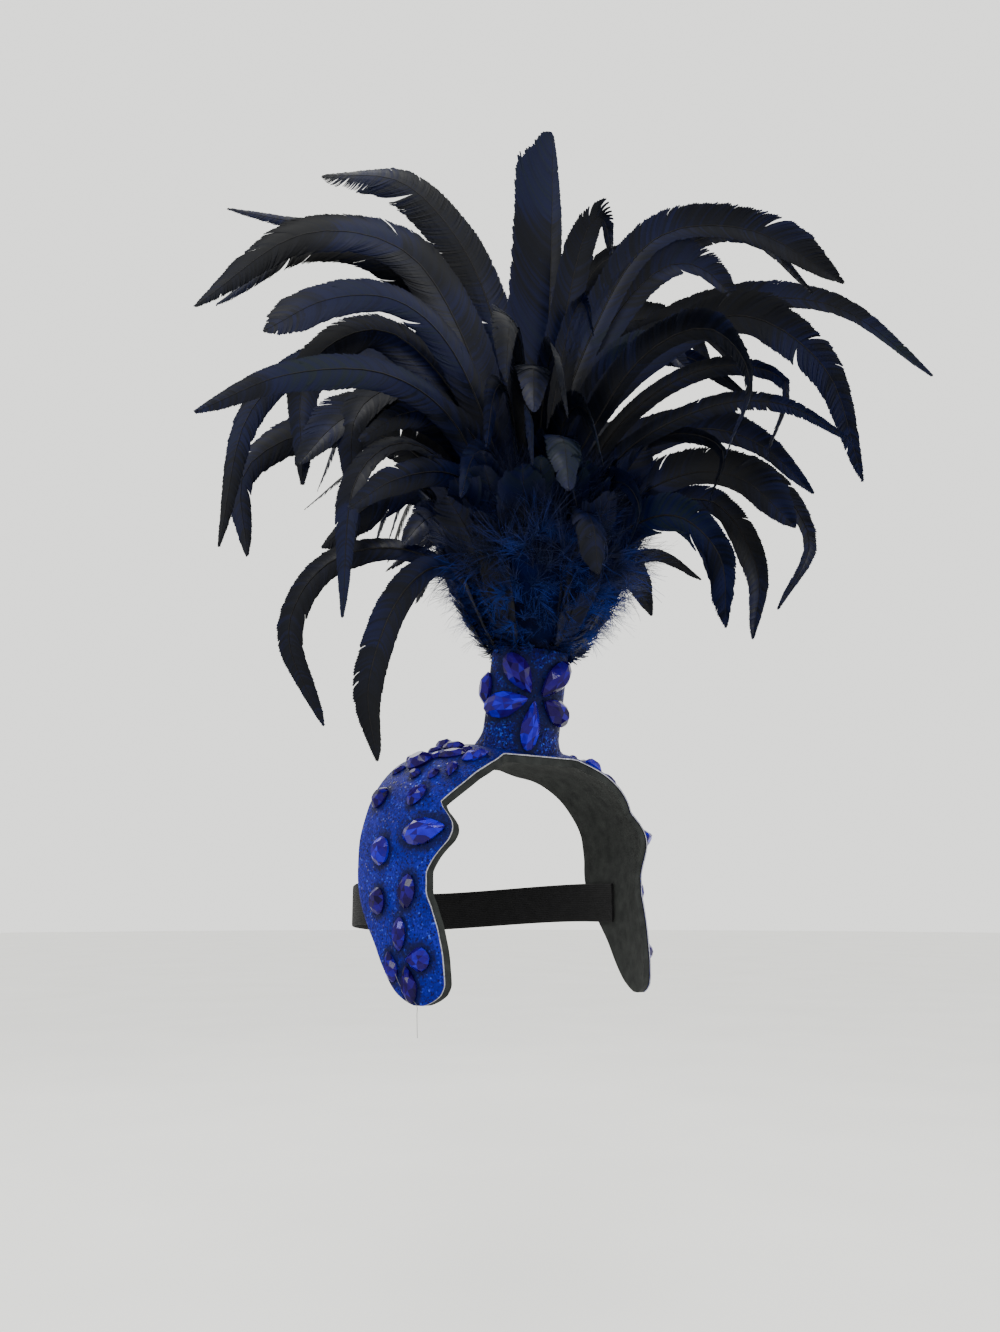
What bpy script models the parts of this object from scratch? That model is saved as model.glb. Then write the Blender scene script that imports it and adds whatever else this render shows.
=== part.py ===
"""Showgirl feather headdress: an ear-to-ear band over the crown, a jewelled column and a plume.

The frame is the wearer's. Z is up, the wearer faces -Y, and +X is the wearer's left. The origin
is where the top of the head meets the inside of the band. Lengths are in metres.
"""

import math
import random

import bmesh
import bpy
from mathutils import Vector
from mathutils.bvhtree import BVHTree

# Clearance between pieces that touch
GAP = 0.0003

# Band: a flat platform over the crown, a straight slope each side, a round side and a lobe
PLATFORM_HALF = 0.0257
SLOPE_ANGLE = math.radians(18.0)
SLOPE_RUN = 0.0090
SIDE_RADIUS = 0.0567
CROWN_RADIUS = 0.1300
CROWN_BACK = 0.0120
LOBE_RUN = 0.1777
FRONT_REACH = 0.0465
BACK_REACH = 0.0400
FOAM_THICKNESS = 0.0040
COVER_THICKNESS = 0.0010
COVER_OVERHANG = 0.0004
ACROSS_STRIPS = 4

# Elastic strap round the back of the head
STRAP_WIDTH = 0.0220
STRAP_THICKNESS = 0.0012
STRAP_DROP = 0.0800
STRAP_BACK = 0.0860
STRAP_OVERLAP = 0.0200
STRAP_DIP = 0.0060
STRAP_STATIONS = 26

# Column: a covered tube that leans forward from the platform
COLUMN_HALF_WIDTH = 0.0225
COLUMN_HALF_DEPTH = 0.0180
COLUMN_WALL = 0.0020
COLUMN_HEIGHT = 0.0550
COLUMN_SETBACK = 0.0008
COLUMN_SIDES = 24
SKIRT_FLARE = 0.0035
SKIRT_HEIGHT = 0.0090

# Plume: quills bundled in a plug that fits the column, with a tuft of down over its rim
PLUG_DEPTH = 0.0220
TUFT_RADIUS = 0.0460
TUFT_HEIGHT = 0.0900
TUFT_SIDES = 12
PLUME_SPREAD = 0.2000
PLUME_HEIGHT = 0.3000
FEATHER_WIDTH = 0.0240
FEATHER_THICKNESS = 0.0018
FEATHER_SECTIONS = 10
FEATHER_TWIST = math.radians(24.0)
DOWN_LENGTH = 0.0560
DOWN_WIDTH = 0.0200
DOWN_LOCKS = 10
BACK_FEATHERS = 12
FRONT_FEATHERS = 6
PLUME_SEED = 11

# Stones
STONE_LENGTH = 0.0250
STONE_WIDTH = 0.0135
STONE_RISE = 0.42
STONE_GIRDLE = 0.28
TABLE_SHARE = 0.52
FLOWER_TURN = math.radians(-107.0)
FLOWER_HEIGHT = 0.52
FLOWER_RADIUS = 0.0152

# The band's outline: how far along, from the centre line to the lobe's end, as a share of
# LOBE_RUN; the front edge as a share of FRONT_REACH; the back edge as a share of BACK_REACH.
# Forward is negative. The notch is at 0.43 and the pointed cheek at 0.52.
#   along  front   back
BAND_OUTLINE = [
    (0.000, -0.730, 0.95),
    (0.125, -0.730, 1.00),
    (0.160, -0.785, 1.00),
    (0.205, -0.850, 0.98),
    (0.260, -0.880, 0.83),
    (0.330, -0.870, 0.70),
    (0.385, -0.820, 0.63),
    (0.430, -0.750, 0.59),
    (0.449, -0.810, 0.57),
    (0.468, -0.900, 0.55),
    (0.495, -0.980, 0.53),
    (0.520, -1.000, 0.525),
    (0.545, -0.980, 0.53),
    (0.580, -0.890, 0.53),
    (0.615, -0.790, 0.53),
    (0.650, -0.730, 0.52),
    (0.690, -0.730, 0.48),
    (0.742, -0.800, 0.37),
    (0.795, -0.870, 0.20),
    (0.850, -0.920, 0.01),
    (0.900, -0.950, -0.14),
    (0.938, -0.955, -0.27),
    (0.966, -0.920, -0.40),
    (0.982, -0.850, -0.52),
    (0.992, -0.775, -0.62),
    (0.999, -0.700, -0.73),
]

# Stones on each side of the band. Along is a share of LOBE_RUN. Across runs from the front edge
# (0) to the back edge (1). Turn is the way the point looks, in degrees from straight up towards
# the crown, turning to the front. Length and width are shares of STONE_LENGTH and STONE_WIDTH.
#   name              cut      along  across  turn  length  width
BAND_STONES = [
    ("cheek_pear", "pear", 0.528, 0.210, 78, 1.00, 1.00),
    ("brow_oval", "oval", 0.582, 0.600, 8, 0.56, 0.84),
    ("notch_oval", "oval", 0.424, 0.270, 24, 0.50, 0.68),
    ("rear_oval", "oval", 0.433, 0.780, 10, 0.48, 0.74),
    ("temple_navette", "navette", 0.694, 0.200, 8, 0.64, 0.76),
    ("temple_oval", "oval", 0.721, 0.640, -6, 0.52, 0.74),
    ("ear_top_navette", "navette", 0.810, 0.476, 180, 0.62, 0.60),
    ("ear_front_pear", "pear", 0.876, 0.310, -92, 0.57, 0.84),
    ("ear_back_pear", "pear", 0.898, 0.790, -20, 0.58, 0.60),
    ("ear_low_pear", "pear", 0.942, 0.570, -16, 0.68, 0.68),
    ("shoulder_oval", "oval", 0.300, 0.580, 62, 0.60, 0.90),
    ("shoulder_bead", "oval", 0.352, 0.500, 90, 0.30, 0.46),
    ("crown_pear", "pear", 0.227, 0.130, 20, 0.58, 0.62),
    ("crown_navette", "navette", 0.246, 0.330, 62, 0.66, 0.52),
    ("crown_leaf", "navette", 0.188, 0.460, 80, 0.62, 0.54),
    ("crown_oval", "oval", 0.160, 0.660, 100, 0.56, 0.70),
    ("crown_drop", "pear", 0.313, 0.180, 150, 0.46, 0.50),
]

# Pears of the column's flower. Petal is the way each lies from the flower's middle, in degrees.
#   name          petal  length  width
COLUMN_PETALS = [
    ("upper_left", 128, 0.90, 0.96),
    ("upper_right", 46, 0.98, 1.00),
    ("lower_right", -24, 0.90, 0.96),
    ("bottom", -92, 0.98, 0.78),
    ("lower_left", 199, 0.92, 0.98),
]

# Ovals on the column's flanks: the way round it in degrees, and the height as a share of it.
#   name           round  height  length  width
COLUMN_OVALS = [
    ("flank_right", 163, 0.56, 0.72, 0.80),
    ("flank_left", 12, 0.50, 0.72, 0.80),
]

# Feathers that make the outline. Heading is the way a feather curls, in degrees from +X towards
# +Y. Roll is 0 where the vane lies in the plane of the curl and 90 where it lies across it.
# Width is a share of FEATHER_WIDTH. The tip is 0 where it is drawn out and 1 where it is blunt.
# Each knot is a place on the quill: out as a share of PLUME_SPREAD, up as a share of PLUME_HEIGHT.
#  heading roll width tip  knots
FEATHERS = [
    (115, 15, 0.95, 0.4, [(0.05, 0.44), (0.13, 0.70), (0.26, 0.90), (0.48, 1.07), (0.80, 1.14)]),
    (150, 10, 1.00, 0.2, [(0.09, 0.39), (0.23, 0.67), (0.40, 0.81), (0.68, 0.83), (0.96, 0.67)]),
    (138, 20, 0.85, 0.2, [(0.09, 0.37), (0.22, 0.64), (0.44, 0.82), (0.70, 0.85), (0.96, 0.74)]),
    (128, 30, 0.55, 0.0, [(0.09, 0.40), (0.28, 0.74), (0.55, 0.92), (0.80, 0.98), (1.03, 1.04)]),
    (172, 5, 0.95, 0.9, [(0.10, 0.34), (0.24, 0.55), (0.41, 0.63), (0.61, 0.60), (0.78, 0.51)]),
    (160, 10, 1.05, 0.1, [(0.10, 0.30), (0.24, 0.50), (0.44, 0.60), (0.64, 0.50), (0.64, 0.28)]),
    (185, 5, 0.80, 0.1, [(0.11, 0.21), (0.27, 0.39), (0.50, 0.44), (0.78, 0.38), (1.01, 0.27)]),
    (142, 10, 0.90, 0.2, [(0.11, 0.30), (0.35, 0.53), (0.59, 0.60), (0.82, 0.48), (0.89, 0.21)]),
    (130, 0, 1.10, 0.3, [(0.12, 0.21), (0.37, 0.42), (0.66, 0.48), (0.90, 0.41), (0.88, 0.23)]),
    (165, 10, 1.10, 0.4, [(0.10, 0.28), (0.23, 0.40), (0.39, 0.43), (0.54, 0.40), (0.66, 0.30)]),
    (120, 30, 0.65, 0.1, [(0.08, 0.21), (0.22, 0.38), (0.34, 0.46), (0.54, 0.44), (0.77, 0.35)]),
    (148, 15, 1.00, 0.2, [(0.10, 0.17), (0.21, 0.28), (0.34, 0.31), (0.46, 0.27), (0.58, 0.19)]),
    (178, 35, 0.55, 0.2, [(0.12, 0.17), (0.26, 0.31), (0.42, 0.34), (0.55, 0.24), (0.57, 0.01)]),
    (155, 5, 0.62, 0.2, [(0.14, 0.12), (0.37, 0.18), (0.57, 0.14), (0.66, 0.01), (0.56, -0.15)]),
    (185, 5, 0.72, 0.3, [(0.15, 0.08), (0.31, 0.12), (0.45, 0.04), (0.53, -0.11), (0.50, -0.23)]),
    (-35, 5, 1.35, 1.1, [(0.00, 0.29), (0.00, 0.49), (0.01, 0.70), (0.02, 0.91), (0.08, 1.08)]),
    (-50, 70, 0.75, 0.9, [(0.04, 0.39), (0.10, 0.63), (0.16, 0.81), (0.22, 0.87), (0.25, 0.77)]),
    (-15, 10, 0.60, 0.3, [(0.05, 0.35), (0.10, 0.56), (0.18, 0.76), (0.31, 0.85), (0.53, 0.85)]),
    (-45, 10, 0.75, 0.9, [(0.06, 0.37), (0.19, 0.63), (0.37, 0.81), (0.64, 0.81), (0.89, 0.68)]),
    (-38, 10, 0.90, 0.5, [(0.06, 0.33), (0.20, 0.60), (0.36, 0.75), (0.49, 0.77), (0.61, 0.69)]),
    (-30, 20, 0.50, 0.2, [(0.05, 0.33), (0.25, 0.70), (0.50, 0.85), (0.70, 0.86), (0.86, 0.75)]),
    (-20, 10, 0.72, 0.0, [(0.07, 0.30), (0.31, 0.61), (0.64, 0.76), (1.03, 0.79), (1.36, 0.66)]),
    (-60, 15, 0.90, 0.2, [(0.07, 0.27), (0.26, 0.48), (0.58, 0.58), (0.82, 0.45), (0.90, 0.23)]),
    (-70, 15, 0.42, 0.2, [(0.10, 0.17), (0.29, 0.33), (0.55, 0.38), (0.75, 0.35), (0.91, 0.26)]),
    (-80, 20, 0.60, 0.2, [(0.07, 0.23), (0.35, 0.46), (0.60, 0.49), (0.73, 0.37), (0.65, 0.25)]),
    (-65, 30, 0.42, 0.1, [(0.07, 0.20), (0.28, 0.40), (0.53, 0.47), (0.74, 0.41), (0.68, 0.28)]),
    (-48, 10, 0.70, 0.2, [(0.07, 0.17), (0.22, 0.32), (0.43, 0.40), (0.62, 0.37), (0.77, 0.26)]),
    (-25, 10, 0.45, 0.1, [(0.10, 0.13), (0.35, 0.31), (0.65, 0.39), (0.84, 0.25), (0.73, 0.10)]),
    (-55, 5, 0.80, 0.7, [(0.10, 0.12), (0.24, 0.24), (0.43, 0.30), (0.59, 0.28), (0.72, 0.18)]),
    (-75, 10, 0.85, 0.5, [(0.12, 0.08), (0.27, 0.17), (0.46, 0.19), (0.59, 0.10), (0.60, -0.02)]),
    (-42, 10, 0.62, 0.3, [(0.12, 0.12), (0.31, 0.25), (0.51, 0.27), (0.62, 0.14), (0.60, 0.01)]),
    (-15, 40, 0.35, 0.0, [(0.07, 0.07), (0.18, 0.14), (0.32, 0.20), (0.42, 0.21), (0.54, 0.17)]),
    (-5, 20, 0.90, 0.3, [(0.07, 0.34), (0.20, 0.62), (0.41, 0.74), (0.60, 0.74), (0.69, 0.67)]),
    (-125, 75, 1.00, 0.6, [(0.03, 0.30), (0.10, 0.52), (0.20, 0.60), (0.31, 0.57), (0.36, 0.45)]),
    (-112, 80, 0.95, 0.6, [(0.05, 0.20), (0.13, 0.36), (0.24, 0.43), (0.34, 0.39), (0.38, 0.27)]),
    (-135, 70, 0.90, 0.5, [(0.04, 0.36), (0.12, 0.62), (0.25, 0.70), (0.36, 0.64), (0.41, 0.50)]),
    (-100, 80, 0.90, 0.5, [(0.06, 0.12), (0.16, 0.23), (0.27, 0.27), (0.35, 0.21), (0.37, 0.10)]),
]

# Colours of the materials
GLITTER_BLUE = (0.012, 0.045, 0.42)
FOAM_GREY = (0.050, 0.050, 0.048)
ELASTIC_BLACK = (0.012, 0.012, 0.013)
STONE_BLUE = (0.020, 0.008, 0.55)
FEATHER_BLACK = (0.006, 0.009, 0.020)


def clear_scene():
    for item in list(bpy.data.objects):
        bpy.data.objects.remove(item, do_unlink=True)


def make_material(name, colour, roughness, metallic=0.0):
    material = bpy.data.materials.new(name)
    material.use_nodes = True
    shader = material.node_tree.nodes["Principled BSDF"]
    shader.inputs["Base Color"].default_value = (*colour, 1.0)
    shader.inputs["Roughness"].default_value = roughness
    shader.inputs["Metallic"].default_value = metallic
    material.diffuse_color = (*colour, 1.0)
    return material


def make_object(name, points, faces, material, sharp_angle=None):
    """A closed mesh with its faces turned outwards. sharp_angle, in degrees, shades it smooth."""
    mesh = bpy.data.meshes.new(name)
    mesh.from_pydata([tuple(p) for p in points], [], faces)
    sheet = bmesh.new()
    sheet.from_mesh(mesh)
    bmesh.ops.recalc_face_normals(sheet, faces=sheet.faces)
    sheet.to_mesh(mesh)
    sheet.free()
    if sharp_angle is not None:
        mesh.shade_smooth()
        mesh.set_sharp_from_angle(angle=math.radians(sharp_angle))
    mesh.materials.append(material)
    item = bpy.data.objects.new(name, mesh)
    bpy.context.scene.collection.objects.link(item)
    return item


def ring_faces(ring_count, size):
    """Faces of a loft through rings of the same size, closed by a cap at each end."""
    faces = [tuple(reversed(range(size)))]
    for ring in range(ring_count - 1):
        for k in range(size):
            here = ring * size
            after = (k + 1) % size
            faces.append((here + k, here + after, here + size + after, here + size + k))
    last = (ring_count - 1) * size
    faces.append(tuple(last + k for k in range(size)))
    return faces


def between(table, column, along):
    """The table's value in a column at a place along it, straight between two rows."""
    for low, high in zip(table, table[1:]):
        if along <= high[0]:
            share = max(0.0, (along - low[0]) / (high[0] - low[0]))
            return low[column] + (high[column] - low[column]) * share
    return table[-1][column]


# The band's surface

def arch(along, height):
    """Place and outward direction in the XZ plane, at a height above the band's inner face.

    along is the run from the centre line over the inner face, and negative on the wearer's right.
    """
    side = 1.0 if along >= 0.0 else -1.0
    run = abs(along)
    if abs(run - PLATFORM_HALF) < 1e-6:
        lean = SLOPE_ANGLE / 2.0
        reach = height / math.cos(lean)
        place = Vector((PLATFORM_HALF, 0.0, 0.0))
    elif run < PLATFORM_HALF:
        lean = 0.0
        reach = height
        place = Vector((run, 0.0, 0.0))
    else:
        reach = height
        lean = SLOPE_ANGLE
        slope = min(run - PLATFORM_HALF, SLOPE_RUN)
        place = Vector((PLATFORM_HALF + slope * math.cos(lean), 0.0, -slope * math.sin(lean)))
        rest = run - PLATFORM_HALF - SLOPE_RUN
        if rest > 0.0:
            turn = min(rest / SIDE_RADIUS, math.pi / 2.0 - SLOPE_ANGLE)
            lean = SLOPE_ANGLE + turn
            place.x += SIDE_RADIUS * (math.sin(lean) - math.sin(SLOPE_ANGLE))
            place.z -= SIDE_RADIUS * (math.cos(SLOPE_ANGLE) - math.cos(lean))
            place.z -= max(0.0, rest - SIDE_RADIUS * (math.pi / 2.0 - SLOPE_ANGLE))
    outward = Vector((math.sin(lean), 0.0, math.cos(lean)))
    place = place + outward * reach
    return Vector((side * place.x, 0.0, place.z)), Vector((side * outward.x, 0.0, outward.z))


def fall(fore_aft):
    """How far the head's roundness takes the surface in, at a place fore and aft."""
    offset = fore_aft - CROWN_BACK
    top = CROWN_RADIUS - math.sqrt(CROWN_RADIUS ** 2 - CROWN_BACK ** 2)
    return CROWN_RADIUS - math.sqrt(CROWN_RADIUS ** 2 - offset ** 2) - top


def band_point(along, fore_aft, height):
    place, outward = arch(along, height)
    drop = fall(fore_aft)
    if abs(abs(along) - PLATFORM_HALF) < 1e-6:
        drop = drop / math.cos(SLOPE_ANGLE / 2.0)
    return place - outward * drop + Vector((0.0, fore_aft, 0.0))


def band_edges(along, trim=0.0):
    """Front and back edge of the band at a place along it."""
    share = abs(along) / LOBE_RUN
    front = between(BAND_OUTLINE, 1, share) * FRONT_REACH
    back = between(BAND_OUTLINE, 2, share) * BACK_REACH
    return front + trim, back - trim


def band_stations():
    """Places along one half of the band where it has a row of points."""
    stations = [row[0] * LOBE_RUN for row in BAND_OUTLINE]
    stations += [PLATFORM_HALF, PLATFORM_HALF + SLOPE_RUN]
    for low, high in zip(sorted(stations), sorted(stations)[1:]):
        if high - low > 0.0125:
            stations.append((low + high) / 2.0)
    kept = []
    for place in sorted(stations):
        if kept and place - kept[-1] < 0.0009:
            if abs(place - PLATFORM_HALF) < 1e-6:
                kept[-1] = place
            continue
        kept.append(place)
    return kept


def make_shell(name, low, high, trim, material):
    """A sheet over the band's whole outline, between two heights above its inner face.

    Its cells are split the same way on every face, so that one sheet lies evenly over another.
    """
    half = band_stations()
    stations = [-place for place in reversed(half[1:])] + half
    columns = ACROSS_STRIPS + 1
    points = []
    for height in (high, low):
        for along in stations:
            front, back = band_edges(along, trim)
            for k in range(columns):
                fore_aft = front + (back - front) * k / ACROSS_STRIPS
                points.append(band_point(along, fore_aft, height))
    layer = len(stations) * columns
    faces = []
    for row in range(len(stations) - 1):
        for k in range(ACROSS_STRIPS):
            corner = row * columns + k
            cell = (corner, corner + 1, corner + columns + 1, corner + columns)
            if row < len(half) - 1:
                halves = ((cell[0], cell[1], cell[3]), (cell[1], cell[2], cell[3]))
            else:
                halves = ((cell[0], cell[1], cell[2]), (cell[0], cell[2], cell[3]))
            for face in halves:
                faces.append(face)
                faces.append(tuple(layer + index for index in reversed(face)))
        for edge in (row * columns, row * columns + ACROSS_STRIPS):
            faces.append((edge, edge + columns, layer + edge + columns, layer + edge))
    for row in (0, len(stations) - 1):
        for k in range(ACROSS_STRIPS):
            corner = row * columns + k
            faces.append((corner, corner + 1, layer + corner + 1, layer + corner))
    return make_object(name, points, faces, material, 50)


# The elastic strap

def make_strap(material):
    """A flat elastic round the back of the head. Each end lies inside the foam near its edge."""
    inner, _ = arch(LOBE_RUN, 0.0)
    half_width = inner.x - GAP - STRAP_THICKNESS / 2.0
    path = []
    steps = 4
    for k in range(steps):
        fore_aft = CROWN_BACK - STRAP_OVERLAP * (1.0 - k / steps)
        path.append(Vector((half_width - fall(fore_aft) + fall(CROWN_BACK), fore_aft, 0.0)))
    for k in range(STRAP_STATIONS + 1):
        turn = math.pi * k / STRAP_STATIONS
        dip = STRAP_DIP * math.sin(turn) ** 2
        path.append(Vector((half_width * math.cos(turn),
                            CROWN_BACK + STRAP_BACK * math.sin(turn), -dip)))
    path += [Vector((-p.x, p.y, p.z)) for p in reversed(path[:steps])]
    points = []
    for k, place in enumerate(path):
        ahead = path[min(k + 1, len(path) - 1)]
        behind = path[max(k - 1, 0)]
        tangent = (ahead - behind).normalized()
        out = Vector((tangent.y, -tangent.x, 0.0)).normalized()
        centre = place + Vector((0.0, 0.0, -STRAP_DROP))
        for side, up in ((1, 1), (-1, 1), (-1, -1), (1, -1)):
            points.append(centre + out * side * STRAP_THICKNESS / 2.0
                          + Vector((0.0, 0.0, up * STRAP_WIDTH / 2.0)))
    return make_object("elastic_strap", points, ring_faces(len(path), 4), material, 50)


# The column

def column_frame():
    """Foot, axis and the two cross directions of the column, square to the platform.

    Its front stands just behind the band's front edge.
    """
    forward = band_edges(0.0)[0] + COLUMN_HALF_DEPTH + COLUMN_SETBACK
    slope = math.asin((CROWN_BACK - forward) / CROWN_RADIUS)
    height = FOAM_THICKNESS + GAP + COVER_THICKNESS
    foot = Vector((0.0, forward, height - fall(forward)))
    axis = Vector((0.0, -math.sin(slope), math.cos(slope)))
    depth = Vector((0.0, math.cos(slope), math.sin(slope)))
    return foot, axis, Vector((1.0, 0.0, 0.0)), depth


def column_point(turn, rise, extra=0.0):
    """A point on the column's outer face at a turn round it and a rise up it."""
    foot, axis, across, depth = column_frame()
    return (foot + axis * rise + across * (COLUMN_HALF_WIDTH + extra) * math.cos(turn)
            + depth * (COLUMN_HALF_DEPTH + extra) * math.sin(turn))


def foot_ring(tree, turns, extras):
    """One ring of the column's foot, GAP above the cover at its points and between them."""
    _, axis, _, _ = column_frame()
    starts = [column_point(turn, COLUMN_HEIGHT, extra) for turn, extra in zip(turns, extras)]
    ring = [tree.ray_cast(start, -axis)[0] + axis * GAP for start in starts]
    lifts = [0.0] * len(ring)
    for k in range(len(ring)):
        after = (k + 1) % len(ring)
        for share in (0.25, 0.5, 0.75):
            hit = tree.ray_cast(starts[k].lerp(starts[after], share), -axis)[0]
            short = GAP - (ring[k].lerp(ring[after], share) - hit).dot(axis)
            lifts[k] = max(lifts[k], short)
            lifts[after] = max(lifts[after], short)
    return [point + axis * lift for point, lift in zip(ring, lifts)]


def skirt(turn):
    """How far the column's foot flares at a turn: fully at the sides and back, not in front."""
    return SKIRT_FLARE * min(1.0, 1.0 + math.sin(turn))


def make_column(tree, material):
    """A tube of wall COLUMN_WALL. Its foot follows the cover that it stands on."""
    rings = []
    turns = [2.0 * math.pi * k / COLUMN_SIDES for k in range(COLUMN_SIDES)]
    rings.append(foot_ring(tree, turns, [-COLUMN_WALL] * COLUMN_SIDES))
    rings.append(foot_ring(tree, turns, [skirt(turn) for turn in turns]))
    for share, flare in ((0.30, 0.55), (0.65, 0.18), (1.0, 0.0)):
        rings.append([column_point(turn, SKIRT_HEIGHT * share, skirt(turn) * flare)
                      for turn in turns])
    for rise in (COLUMN_HEIGHT * 0.55, COLUMN_HEIGHT):
        rings.append([column_point(turn, rise) for turn in turns])
    rings.append([column_point(turn, COLUMN_HEIGHT, -COLUMN_WALL) for turn in turns])
    points = [p for ring in rings for p in ring]
    faces = ring_faces(len(rings), COLUMN_SIDES)[1:-1]
    last = (len(rings) - 1) * COLUMN_SIDES
    for k in range(COLUMN_SIDES):
        after = (k + 1) % COLUMN_SIDES
        faces.append((last + k, last + after, after, k))
    return make_object("column_cover", points, faces, material, 50)


# Stones

def stone_outline(cut, length, width):
    """Points of a stone's girdle, with its point, if it has one, along +X."""
    sides = 8 if cut == "oval" else 10
    outline = []
    for k in range(sides):
        turn = 2.0 * math.pi * (k + 0.5 * (cut == "oval")) / sides
        x = math.cos(turn)
        y = math.sin(turn)
        if cut == "pear" and x > -0.2:
            y *= 1.0 - 0.62 * ((x + 0.2) / 1.2) ** 1.3
        if cut == "navette":
            y *= 0.72 + 0.28 * abs(y)
        outline.append((x * length / 2.0, y * width / 2.0))
    return outline


def make_stone(name, cut, seat, tree, length, width, material):
    """A flat-backed faceted stone on a seat: place, outward direction and the point's direction."""
    place, normal, towards = seat
    normal = normal.normalized()
    towards = (towards - normal * towards.dot(normal)).normalized()
    aside = normal.cross(towards)
    outline = stone_outline(cut, length, width)
    reach = length
    lift = 0.0
    for share in (0.0, 0.35, 0.7, 1.0):
        for x, y in outline:
            start = place + towards * x * share + aside * y * share + normal * reach
            hit, _, _, _ = tree.ray_cast(start, -normal, 2.0 * reach)
            if hit is not None:
                lift = max(lift, (hit - place).dot(normal))
    rise = width * STONE_RISE
    layers = [(0.0, 0.93), (rise * STONE_GIRDLE, 1.0), (rise * 0.74, 0.80), (rise, TABLE_SHARE)]
    points = []
    for height, share in layers:
        for x, y in outline:
            points.append(place + normal * (lift + GAP + height)
                          + towards * x * share + aside * y * share)
    return make_object(name, points, ring_faces(len(layers), len(outline)), material)


def surface_seat(tree, point, outward):
    """Where a line from outside meets a piece."""
    hit, _, _, _ = tree.ray_cast(point + outward * 0.02, -outward, 0.05)
    return hit


def make_band_stones(tree, material):
    step = 0.001
    height = FOAM_THICKNESS + GAP + COVER_THICKNESS
    for name, cut, along_share, across, turn, length, width in BAND_STONES:
        for side, side_name in ((-1.0, "right"), (1.0, "left")):
            along = side * along_share * LOBE_RUN
            front, back = band_edges(along)
            fore_aft = front + (back - front) * across
            middle = band_point(along, fore_aft, height)
            up = middle - band_point(along + side * step, fore_aft, height)
            forward = middle - band_point(along, fore_aft + step, height)
            outward = up.cross(forward) * side
            if outward.dot(arch(along, 0.0)[1]) < 0.0:
                outward = -outward
            outward.normalize()
            angle = math.radians(turn)
            towards = up.normalized() * math.cos(angle) + forward.normalized() * math.sin(angle)
            seat = (surface_seat(tree, middle, outward), outward, towards)
            make_stone(f"stone_{side_name}_{name}", cut, seat, tree,
                       length * STONE_LENGTH, width * STONE_WIDTH, material)


def column_seat(tree, turn, rise):
    """Seat on the column's face, with the directions round it and up it."""
    foot, axis, across, depth = column_frame()
    around = (column_point(turn + 0.01, rise) - column_point(turn, rise)).normalized()
    outward = around.cross(axis).normalized()
    return surface_seat(tree, column_point(turn, rise), outward), outward, around, axis


def make_column_stones(tree, material):
    radius = (COLUMN_HALF_WIDTH + COLUMN_HALF_DEPTH) / 2.0
    for name, petal, length, width in COLUMN_PETALS:
        angle = math.radians(petal)
        turn = FLOWER_TURN + FLOWER_RADIUS * math.cos(angle) / radius
        rise = COLUMN_HEIGHT * FLOWER_HEIGHT + FLOWER_RADIUS * math.sin(angle)
        place, outward, around, up = column_seat(tree, turn, rise)
        towards = -around * math.cos(angle) - up * math.sin(angle)
        make_stone(f"stone_flower_{name}", "pear", (place, outward, towards), tree,
                   length * STONE_LENGTH, width * STONE_WIDTH, material)
    for name, degrees, height, length, width in COLUMN_OVALS:
        place, outward, around, up = column_seat(tree, math.radians(degrees),
                                                 COLUMN_HEIGHT * height)
        make_stone(f"stone_{name}", "oval", (place, outward, up), tree,
                   length * STONE_LENGTH, width * STONE_WIDTH, material)


# The plume

def smooth_path(knots, count):
    """A smooth curve through the knots, as count points that crowd where it bends."""
    ends = [knots[0] * 2.0 - knots[1]] + knots + [knots[-1] * 2.0 - knots[-2]]
    fine = []
    steps = 12
    for k in range(1, len(ends) - 2):
        p0, p1, p2, p3 = ends[k - 1:k + 3]
        for j in range(steps):
            t = j / steps
            fine.append(0.5 * (2.0 * p1 + (p2 - p0) * t + (2.0 * p0 - 5.0 * p1 + 4.0 * p2 - p3) * t ** 2
                               + (3.0 * p1 - p0 - 3.0 * p2 + p3) * t ** 3))
    fine.append(knots[-1])
    marks = [0.0]
    for k in range(1, len(fine)):
        step = (fine[k] - fine[k - 1])
        bend = 0.0
        if k > 1:
            bend = step.angle(fine[k - 1] - fine[k - 2], 0.0)
        marks.append(marks[-1] + step.length + 0.03 * bend)
    path = []
    for k in range(count):
        wanted = marks[-1] * k / (count - 1)
        spot = next((j for j in range(1, len(marks)) if marks[j] >= wanted - 1e-12), len(marks) - 1)
        share = (wanted - marks[spot - 1]) / (marks[spot] - marks[spot - 1])
        path.append(fine[spot - 1].lerp(fine[spot], share))
    return path


def vane_width(share, tip):
    """The vane's width along the quill, as a share of its widest."""
    root = 0.16 + 0.84 * min(1.0, share / 0.42) ** 1.5
    taper = 0.34 - 0.24 * tip
    point = min(1.0, (1.0 - share) / taper) ** 0.75
    return max(0.08, root * (0.10 + 0.90 * point))


def make_blade(name, path, width, roll, tip, side, thickness):
    """A feather as a thin blade: four-sided sections along its quill."""
    points = []
    for k, place in enumerate(path):
        ahead = path[min(k + 1, len(path) - 1)]
        behind = path[max(k - 1, 0)]
        tangent = (ahead - behind).normalized()
        share = k / (len(path) - 1)
        inward = side.cross(tangent).normalized()
        angle = roll + FEATHER_TWIST * (share - 0.5)
        across = inward * math.cos(angle) + side * math.sin(angle)
        through = tangent.cross(across)
        half = width * vane_width(share, tip) / 2.0
        thick = thickness * (1.0 - 0.55 * share) / 2.0
        for a, b in ((1.0, 0.0), (0.0, 1.0), (-1.0, 0.0), (0.0, -1.0)):
            points.append(place + across * a * half + through * b * thick)
    return make_object(name, points, ring_faces(len(path), 4), bpy.data.materials["feather"])


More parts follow.
